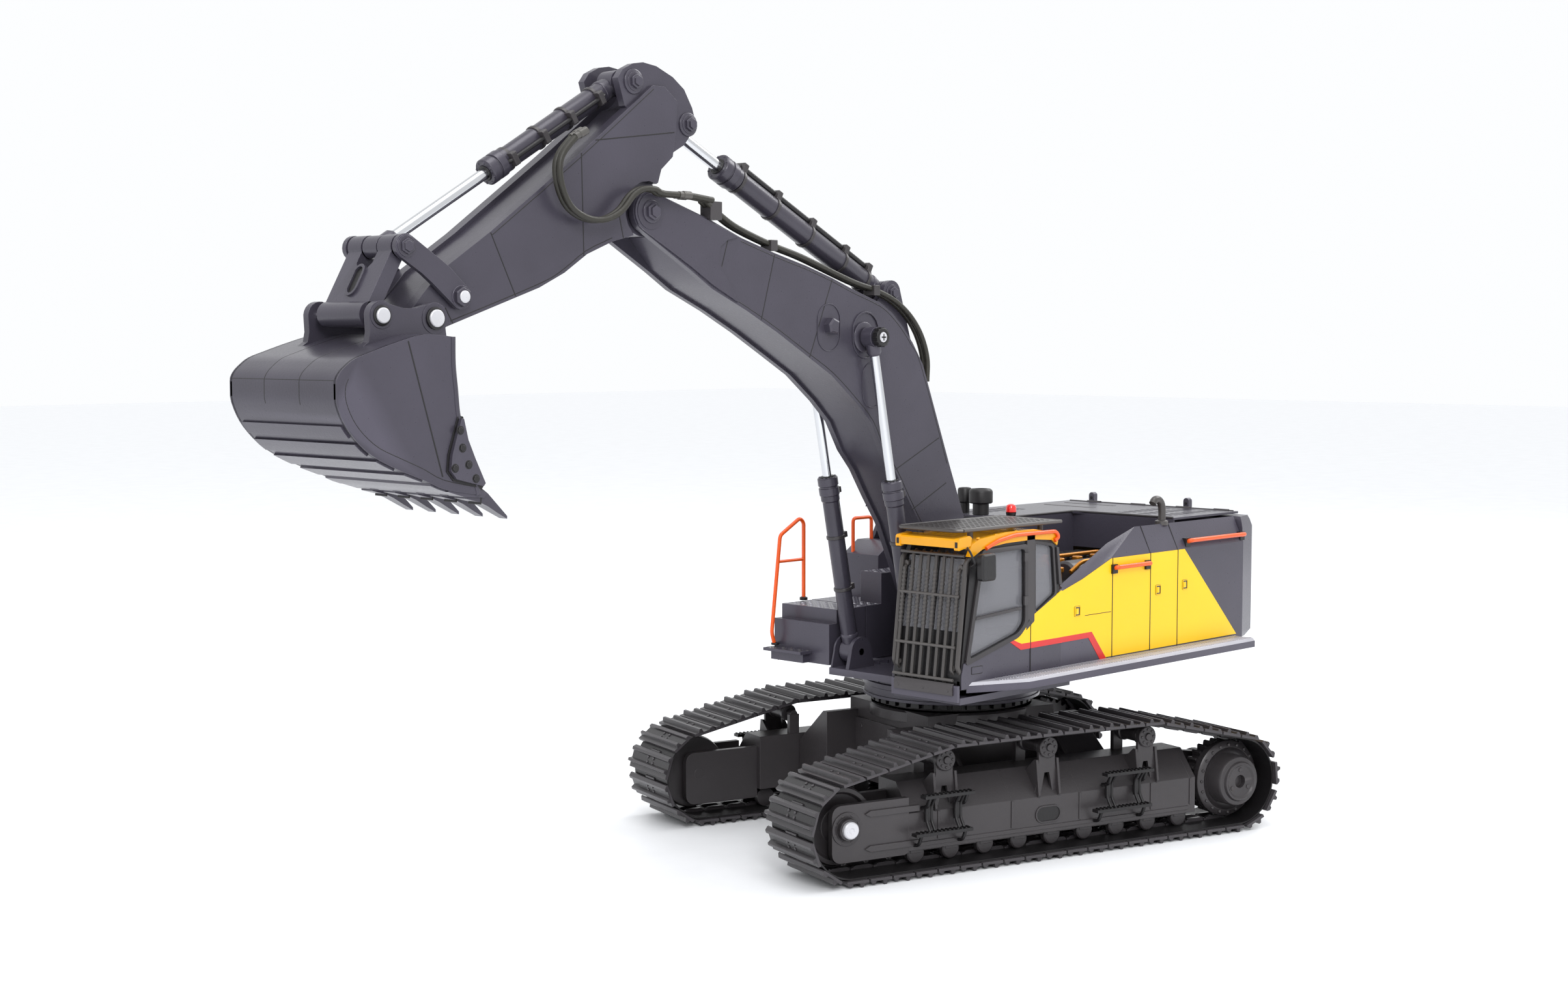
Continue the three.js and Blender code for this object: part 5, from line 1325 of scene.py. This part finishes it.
def stick():
    piece = Piece("stick_box").use(SLATE)
    tip = arc(BUCKET_PIVOT, 7, 55, -105, 14)
    root = arc(STICK_PIVOT, 11, -60, -225, 14)
    clear = arc(STICK_PIVOT, 13.6, -48, 112, 8)
    foot_pocket = arc(BUCKET_CYLINDER_FOOT, 11.2, 262, 186, 8)
    top_pocket = arc(STICK_CYLINDER_TOP, 11.2, 300, 410, 8)
    # The top lies lower than the side plates; the pockets clear the swinging eyes of two cylinders
    core = [(244, 356), (269, 338.2), (319, 302.6), (345, 285.8), *tip, *STICK_UNDER, *root, *STICK_REAR[:2],
            (216.5, 341), *top_pocket[2:], *foot_pocket[::-1]]
    full = STICK_TOP + tip + STICK_UNDER + root + STICK_REAR
    outer = STICK_TOP + tip + STICK_UNDER + clear + STICK_REAR
    piece.plate_y(core, -9.6, 9.6)
    for sign in (1, -1):
        piece.side_plate(full, 9.4, 11.5, sign)
        piece.side_plate(outer, 11.3, STICK_HALF, sign)
        piece.side_plate(HEAD, 9.5, 13.5, sign)
        for a, b in (((320, 303.6), (307, 277.2)), ((270, 339.6), (269, 295)), ((249, 316), (246, 303.6)),
                     ((344, 272), (340, 265.4)), ((215, 352), (262, 345.6))):
            seam(piece, a, b, STICK_HALF, sign)
        for centre, radius in ((BUCKET_CYLINDER_FOOT, 5.6), (STICK_CYLINDER_TOP, 5.4)):
            piece.turned(centre, [(13.3, radius), (14.2, radius), (14.6, radius - 0.6), (14.6, 2)], 28, sign)
            hex_nut(piece, centre, 14.4, sign, 3.3, 3.4)
        piece.turned(ROCKER_PIVOT, [(15.2, 4.8), (16.0, 4.8)], 24, sign)
        piece.turned(ROCKER_PIVOT, [(15.2, 2.3), (19.6, 2.3)], 20, sign)
        piece.along((ROCKER_PIVOT[0], sign * 19, ROCKER_PIVOT[1]), (ROCKER_PIVOT[0], sign * 30, ROCKER_PIVOT[1]),
                    [(0, 4.2), (1.6, 4.2), (2.0, 3.6)], 6, 0.3)
        piece.use(WHITE).turned(ROCKER_PIVOT, [(20.6, 2.6), (21.4, 2.6), (21.8, 2.0)], 20, sign)
        piece.use(SLATE)
        edge = grown(outer, -1.6)
        under = len(STICK_TOP) + len(tip)
        for line in (edge[:len(STICK_TOP) - 1], edge[under:under + len(STICK_UNDER) - 1]):
            edge_line(piece, line, sign * (STICK_HALF - 0.1))
    piece.turned(STICK_CYLINDER_TOP, [(-13.4, 1.7), (13.4, 1.7)], 16)
    piece.done("stick", "stick", bevel=0.6, slot="slate_paint")


BUCKET_BACK = [(357, 260.1), (371, 261), (384, 258), (397, 254), (404, 251.6), (408, 249), (411.4, 245.8),
               (413, 242), (413, 236), (410, 228), (405, 221), (397, 214), (385, 208), (372, 203), (361, 198.6),
               (345, 196)]
BUCKET_MIDDLE = (374, 230)
BUCKET_MOUTH = [(353, 223), (355, 229), (356, 239), (357, 249)]


def strip(line, proud, sunk):
    """The outline of a thin strip along the bucket's skin."""
    return inset(line, BUCKET_MIDDLE, -proud) + inset(line, BUCKET_MIDDLE, sunk)[::-1]


def bucket():
    piece = Piece("bucket_shell").use(SLATE)
    back = [(min(p.x, 412.8), p.z) for p in smooth_path([(x, 0, z) for x, z in BUCKET_BACK], 3)]
    lining = inset(back, BUCKET_MIDDLE, 2.0)
    piece.plate_y(back + lining[::-1], -37.5, 37.5)
    for sign in (1, -1):
        piece.side_plate(back + BUCKET_MOUTH, 36, 38, sign)
        edge = smooth_path([(x, sign * 37.4, z) for x, z in [BUCKET_BACK[-1], *BUCKET_MOUTH, BUCKET_BACK[0]]], 4)
        piece.tube(edge, 1.3, 8)
        # Side cutter, a pad with a dark edge and five large bolts
        cutter = [(352.8, 228), (350.6, 219), (347, 211), (341.8, 200.6), (343.6, 198.4), (358, 202.0), (361.4, 206),
                  (360.6, 213), (358, 221), (355.4, 228.6)]
        piece.use(BLACK).side_plate(cutter, 37.6, 38.5, sign)
        piece.use(SLATE).side_plate(grown(cutter, -1.0), 37.8, 40.2, sign)
        for spot in ((355.6, 222.6), (354.6, 215.4), (351.6, 208.6), (348.0, 202.8), (358.4, 207.4)):
            piece.use(BLACK).turned(spot, [(40, 1.9), (40.3, 1.9)], 16, sign)
            piece.bolt((spot[0], sign * 40.2, spot[1]), (0, sign, 0), 1.45, 0.6)
            piece.use(SLATE)
        # Grooves on the side plate
        seam(piece, (379, 258.4), (363, 204), 38, sign, 0.7)
        low = smooth_path([(x, 0, z) for x, z in inset(BUCKET_BACK[6:], BUCKET_MIDDLE, 4.6)], 3)
        for a, b in zip(low, low[1:]):
            seam(piece, (a.x, a.z), (b.x, b.z), 38, sign, 0.4, 0.06)
        ear = [*arc(BUCKET_PIVOT, 6.5, 215, 60, 10), (364, 271.6), (370, 271.4), *arc(LINK_FOOT, 6, 130, -10, 9),
               (386.6, 262), (387.4, 258), (391, 255.6), (398, 253.5), (384, 256.6), (371, 259.4), (349, 259)]
        piece.side_plate(ear, 19.5, 23.2, sign)
        for centre, radius in ((BUCKET_PIVOT, 6.4), (LINK_FOOT, 5.4)):
            piece.turned(centre, [(23, radius), (23.5, radius), (23.5, 3)], 28, sign)
    # Lip, teeth on their adapters, and segments between them
    piece.plate_y([(340.6, 196.2), (341.4, 194.6), (352, 195.4), (360, 197.8), (358, 200.6), (346, 199.4)], -37.4, 37.4)
    for i in range(5):
        y = (i - 2) * 16.3
        rings = [((350.4, 197.6), 4.0, 3.9), ((343.4, 195.6), 4.0, 3.6), ((339, 193.2), 3.7, 3.0),
                 ((333.4, 189.2), 3.0, 1.9), ((328.2, 185.5), 2.6, 0.7)]
        piece.loft([[(x, y + s * w, z + t * h) for s, t in ((-1, -0.8), (1, -0.8), (1, 1), (-1, 1))]
                    for (x, z), w, h in rings])
        piece.use(BLACK).plate_y([(342.6, 191.8), (343.4, 191.8), (342.8, 199.4), (342, 199.4)], y - 4.05, y + 4.05)
        piece.use(SLATE)
        for sign in (1, -1):
            piece.bolt((346, y + sign * 3.9, 196.4), (0, sign, 0), 0.9, 0.4)
        if i < 4:
            piece.plate_y([(341.6, 194.4), (352.6, 195.2), (352.6, 200.4), (344, 200)], y + 5.4, y + 10.9)
    # Wear strips across the width under the floor
    for k in range(5):
        at = len(back) - 6 - k * 3
        line = back[at:at + 3]
        piece.plate_y(strip(line, 0.9, 0.6), -37 + k * 0.4, 37 - k * 0.4)
    # Seams down the back at a third and two thirds of the width, and one across
    for y in (-12.4, 12.4):
        line = back[1:len(back) - 20]
        piece.use(BLACK).plate_y(strip(line, 0.05, 0.4), y - 0.3, y + 0.3)
    spot = back[int(len(back) * 0.44):int(len(back) * 0.44) + 2]
    spot = [spot[0], (spot[0][0] * 0.75 + spot[1][0] * 0.25, spot[0][1] * 0.75 + spot[1][1] * 0.25)]
    piece.plate_y(strip(spot, 0.05, 0.4), -36.5, 36.5)
    piece.use(SLATE)
    piece.done("bucket", "bucket", bevel=0.4, slot="slate_paint")


def capped_pin(name, body, node, centre, radius, half, cap):
    """A pin with a dark ring and a pale cap at each end."""
    piece = Piece(name).use(STEEL)
    piece.turned(centre, [(-half + 0.6, radius), (half - 0.6, radius)], 24)
    for sign in (1, -1):
        piece.use(BLACK).turned(centre, [(half - 2.2, cap), (half - 1.2, cap), (half - 0.9, cap - 0.7)], 28, sign)
        piece.use(WHITE).turned(centre, [(half - 1.2, cap - 1.0), (half - 0.3, cap - 1.0), (half, cap - 1.4)], 28, sign)
    piece.done(body, node, bevel=0.15, slot="bright_steel")


def pins():
    capped_pin("bucket_pin_caps", "stick", "bucket_pin", BUCKET_PIVOT, 2.6, 25.4, 4.6)
    capped_pin("link_foot_pin_caps", "bucket", "link_bucket_pin", LINK_FOOT, 2.2, 25.1, 4.2)
    nuts = Piece("stick_pivot_bolt").use(STEEL)
    nuts.turned(STICK_PIVOT, [(-16.8, 3), (16.8, 3)], 20)
    nuts.use(SLATE)
    for sign in (1, -1):
        hex_nut(nuts, STICK_PIVOT, 17.5, sign, 4.0, 3.6)
    nuts.done("boom", "stick_pivot_pin", bevel=0.2, slot="bright_steel")
    top = Piece("link_top_bolt").use(STEEL)
    top.turned(LINK_TOP, [(-19.6, 2.2), (19.6, 2.2)], 20)
    top.use(SLATE)
    for sign in (1, -1):
        hex_nut(top, LINK_TOP, 19.1, sign, 3.4, 2.2)
    top.done("rocker", "link_pin", bevel=0.2, slot="bright_steel")
    cross = Piece("boom_cylinder_pin_bolt").use(STEEL)
    cross.turned(BOOM_CYLINDER_TOP, [(-29, 2.2), (29, 2.2)], 20)
    for sign in (1, -1):
        cross.use(BLACK).turned(BOOM_CYLINDER_TOP, [(26.4, 4.6), (29.4, 4.6), (29.8, 4.0), (29.8, 2.9), (29.2, 2.7)],
                                28, sign)
        for k in range(14):
            angle = math.pi * k / 7
            x = BOOM_CYLINDER_TOP[0] + 4.6 * math.cos(angle)
            z = BOOM_CYLINDER_TOP[1] + 4.6 * math.sin(angle)
            cross.along((x, sign * 26.4, z), (x, sign * 29.3, z), [(0, 0.42), (2.9, 0.42)], 6)
        cross.use(WHITE).turned(BOOM_CYLINDER_TOP, [(29, 2.6), (29.6, 2.6), (29.8, 2.3)], 24, sign)
        cross.use(BLACK)
        for w, h in ((1.7, 0.4), (0.4, 1.7)):
            cross.side_plate([(BOOM_CYLINDER_TOP[0] - w, BOOM_CYLINDER_TOP[1] - h),
                              (BOOM_CYLINDER_TOP[0] + w, BOOM_CYLINDER_TOP[1] - h),
                              (BOOM_CYLINDER_TOP[0] + w, BOOM_CYLINDER_TOP[1] + h),
                              (BOOM_CYLINDER_TOP[0] - w, BOOM_CYLINDER_TOP[1] + h)], 29.2, 29.9, sign)
    cross.done("boom", "boom_cylinder_pin", bevel=0.15, slot="bright_steel")


def linkage():
    for side, sign in (("left", 1), ("right", -1)):
        piece = Piece(f"rocker_{side}_plate").use(SLATE)
        along = math.degrees(math.atan2(LINK_TOP[1] - ROCKER_PIVOT[1], LINK_TOP[0] - ROCKER_PIVOT[0]))
        bow = [(347.6, 291.2), (343.2, 288.2)]
        hollow = [(352.6, 281.8), (357.6, 285.6)]
        plate = (arc(LINK_TOP, 5.2, along - 90, along + 90, 10) + bow
                 + arc(ROCKER_PIVOT, 5.2, along + 90, along + 270, 10) + hollow)
        piece.side_plate(plate, 16.2, 18.8, sign)
        for centre in (ROCKER_PIVOT, LINK_TOP):
            piece.turned(centre, [(18.6, 4.8), (19.1, 4.8), (19.1, 2)], 24, sign)
        piece.done("rocker", f"rocker_{side}", bevel=0.35, slot="slate_paint")
    piece = Piece("h_link_plate").use(SLATE)
    foot = slide_point(LINK_TOP, LINK_FOOT, math.dist(LINK_TOP, LINK_FOOT) - 0.6)
    reach = math.dist(LINK_TOP, foot)
    along = ((foot[0] - LINK_TOP[0]) / reach, (foot[1] - LINK_TOP[1]) / reach)
    out = (-along[1], along[0])

    def place(y, s, t):
        return (LINK_TOP[0] + along[0] * s + out[0] * t, y, LINK_TOP[1] + along[1] * s + out[1] * t)

    arms = [(-15, 0), (-5.6, 0), (-5.6, 9), (-3.6, 11.4), (3.6, 11.4), (5.6, 9), (5.6, 0), (15, 0), (15, reach),
            (-15, reach)]
    piece.loft([[place(y, s, t) for y, s in arms] for t in (-3.2, 3.2)])
    for y0, y1 in ((-15, -5.6), (5.6, 15)):
        piece.turned(LINK_TOP, [(y0, 5.0), (y1, 5.0)], 28)
    piece.turned(foot, [(-15, 5.3), (15, 5.3)], 32)
    hole = [(y, s + 17.4) for y, s in capsule((0, -3.6), 2.5, (0, 3.6), 2.5, 10)]
    lip = [(y, s + 17.4) for y, s in capsule((0, -3.6), 3.8, (0, 3.6), 3.8, 10)]
    for face in (1, -1):
        piece.loft([[place(y, s, face * t) for y, s in line]
                    for line, t in ((lip, 2.8), (lip, 4.2), (hole, 4.2), (hole, 2.8))])
        piece.use(BLACK).loft([[place(y, s, face * t) for y, s in hole] for t in (3.0, 3.3)])
        piece.use(SLATE)
    piece.done("h_link", "h_link", bevel=0.45, slot="slate_paint")


def slide_point(a, b, distance):
    reach = math.dist(a, b)
    return (a[0] + (b[0] - a[0]) * distance / reach, a[1] + (b[1] - a[1]) * distance / reach)


def cylinder(name, barrel_node, rod_node, foot, top, y, length, radius, rod_radius, rod_length, gland, eye, eye_half,
             clamps, around=0, pipe=1.5):
    """A hydraulic cylinder: its barrel's eye is at foot, its rod's eye at top, its pipe turned around its axis."""
    a = (foot[0], y, foot[1])
    b = (top[0], y, top[1])
    barrel = Piece(f"{name}_barrel_body").use(SLATE)
    barrel.along(a, b, [(3, radius * 0.8), (5.4, radius), (length - 13, radius), (length - 12.4, gland * 0.92),
                        (length - 9.6, gland * 0.92), (length - 9.4, gland), (length - 5.6, gland),
                        (length - 5.4, gland * 0.9), (length - 4.6, gland * 0.9), (length - 4.4, gland),
                        (length - 0.6, gland), (length, gland * 0.9), (length, rod_radius + 0.6)], 32)
    barrel.turned(foot, [(y - eye_half, eye), (y + eye_half, eye)], 28)
    barrel.along(a, b, [(eye - 0.5, radius * 0.9), (eye + 2.2, radius * 1.06), (eye + 3.4, radius * 1.06),
                        (eye + 3.8, radius)], 32)
    ahead = Vector((b[0] - a[0], 0, b[2] - a[2])).normalized()
    side = Vector((0, 1, 0))
    up = ahead.cross(side)
    for k in range(8):
        angle = math.pi * (k + 0.5) / 4
        spot = Vector(a) + ahead * (length - 0.2) + (side * math.cos(angle) + up * math.sin(angle)) * (gland - 1.1)
        barrel.bolt(spot, ahead, 0.7, 0.5)
    barrel.use(BLACK).along(a, b, [(length + 0.1, rod_radius + 1.2), (length + 0.5, rod_radius + 1.0)], 24)
    barrel.use(SLATE)
    # A pipe along the barrel in block clamps
    out = up * math.cos(math.radians(around)) + side * math.sin(math.radians(around))
    across = ahead.cross(out)
    run = [Vector(a) + ahead * d + out * (radius + pipe + 0.35) for d in (clamps[0] - 2, clamps[-1] + 1.5)]
    ends = [run[0] - out * (pipe + 1.6) - ahead * 2.2, run[1] - out * (pipe + 1.6) + ahead * 2.2]
    barrel.use(BLACK).tube([ends[0], *run, ends[1]], pipe, 12, bend=2.4)
    barrel.use(DARK)
    for d in clamps:
        core = Vector(a) + ahead * d
        wide = min(radius * 0.62, 3.4)
        block = rect(-1.5, 1.5, -wide, wide)
        barrel.loft([[core + ahead * s * scale + across * t * scale + out * h for s, t in block]
                     for h, scale in ((radius - 0.9, 1), (radius + pipe * 2 + 0.4, 1), (radius + pipe * 2 + 0.9, 0.8))])
        barrel.along(core - ahead * 0.9, core + ahead * 0.9, [(0, radius + 0.3), (0.1, radius + 0.55),
                                                              (1.7, radius + 0.55), (1.8, radius + 0.3)], 32)
    barrel.use(SLATE)
    barrel.done(barrel_node, barrel_node, bevel=0.2, slot="slate_paint")
    rod = Piece(f"{name}_rod_shaft").use(CHROME)
    rod.along(b, a, [(2, rod_radius), (rod_length, rod_radius)], 28)
    rod.use(SLATE).turned(top, [(y - eye_half, eye * 0.84), (y + eye_half, eye * 0.84)], 28)
    rod.along(b, a, [(2, rod_radius + 1.4), (eye + 1.6, rod_radius + 1.4), (eye + 3.4, rod_radius + 0.2)], 28)
    rod.done(rod_node, rod_node, bevel=0.2, slot="chrome")


def cylinders():
    for side, y in (("left", 22), ("right", -22)):
        cylinder(f"boom_{side}", f"boom_barrel_{side}", f"boom_rod_{side}", BOOM_CYLINDER_FOOT, BOOM_CYLINDER_TOP, y,
                 length=94, radius=4.3, rod_radius=2.35, rod_length=116, gland=5.3, eye=6.0, eye_half=3.4,
                 clamps=(34, 62, 86), pipe=0.8)
    cylinder("stick", "stick_barrel", "stick_rod", STICK_CYLINDER_FOOT, STICK_CYLINDER_TOP, 0,
             length=127, radius=5.6, rod_radius=2.9, rod_length=128, gland=6.7, eye=6.2, eye_half=5.4,
             clamps=(14, 33, 60, 87, 113))
    cylinder("bucket", "bucket_barrel", "bucket_rod", BUCKET_CYLINDER_FOOT, LINK_TOP, 0,
             length=84.5, radius=5, rod_radius=2.5, rod_length=104, gland=6, eye=5.8, eye_half=4.8,
             clamps=(15, 34, 52, 72), around=90, pipe=1.0)


def hoses():
    run = Piece("boom_hose_run").use(RUBBER)
    line = [(37, 13.6, 237), (37, 13.6, 249), (42, 13.6, 261), (51, 13.6, 271), (63, 13.6, 278.5), (78, 13.6, 283.5),
            (95, 13.6, 287.5), (129, 13.6, 298), (151, 13.6, 303.6), (173, 13.6, 310.6), (187, 15.6, 316.4),
            (199, 18.4, 322)]
    for shift in (0, -3.1):
        run.tube(smooth_path([(x, y + shift, z) for x, y, z in line], 8), 1.35, 12)
    run.use(DARK)
    for x, z in ((78, 283.5), (151, 303.6)):
        run.box((x - 2.2, x + 2.2), (8.6, 16), (z - 3, z + 2.2))
    run.box((188, 195.5), (11.6, 18.6), (313.6, 322))
    run.done("boom", "boom_hose", bevel=0.3, slot="hose_rubber")
    loop = [(199, 322), (214, 323.4), (229, 323.6), (234, 325.2), (241, 325), (247, 322), (254, 315), (263, 311),
            (273, 311), (282, 315), (287, 322), (289, 331), (287, 338), (279, 346), (275, 348)]
    for name, y in (("inner", 20.6), ("outer", 23.6)):
        piece = Piece(f"loop_hose_{name}_tube").use(RUBBER)
        piece.tube(smooth_path([(x, y, z) for x, z in loop], 8), 1.4, 12)
        piece.use(CLAMP)
        for a, b in ((loop[-1], loop[-2]), (loop[1], loop[2])):
            piece.along((a[0], y, a[1]), (b[0], y, b[1]), [(-1, 1.9), (3.4, 1.9), (3.6, 1.6), (6, 1.6)], 16)
        blend_over_stick(piece, f"loop_hose_{name}")


def blend_over_stick(piece, node):
    """A hose that is held by the boom at one end and by the stick at the other: built on the boom, then taken off it
    and left on no body, its place baked into the mesh.
    """
    made = piece.done("boom", node, bevel=0, slot="hose_rubber")
    world = made.matrix_world.copy()
    made.parent = None
    del made["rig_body"]
    made.matrix_world = world
    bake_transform(made)


def arm():
    boom()
    stick()
    bucket()
    linkage()
    cylinders()
    pins()
    hoses()


make_camera()
make_stage()
undercarriage()
upper_body()
arm()

LOOKS = {"slate_paint": SLATE, "dark_paint": DARK, "black_paint": GUN, "track_shoes": SHOE,
         "yellow_paint": YELLOW, "orange_paint": ORANGE, "chrome": CHROME, "bright_steel": STEEL,
         "cab_glass": GLASS, "amber_plastic": AMBER, "red_lens": RED, "tread_plate": TREAD,
         "hose_rubber": RUBBER, "inner_plastic": GOLD}
for subpart in frame["record"]["subparts"]:
    slots = frame["nodes"][subpart["node"]].material_slots
    for place in slots:
        place.material = LOOKS[subpart["material_slot"]]
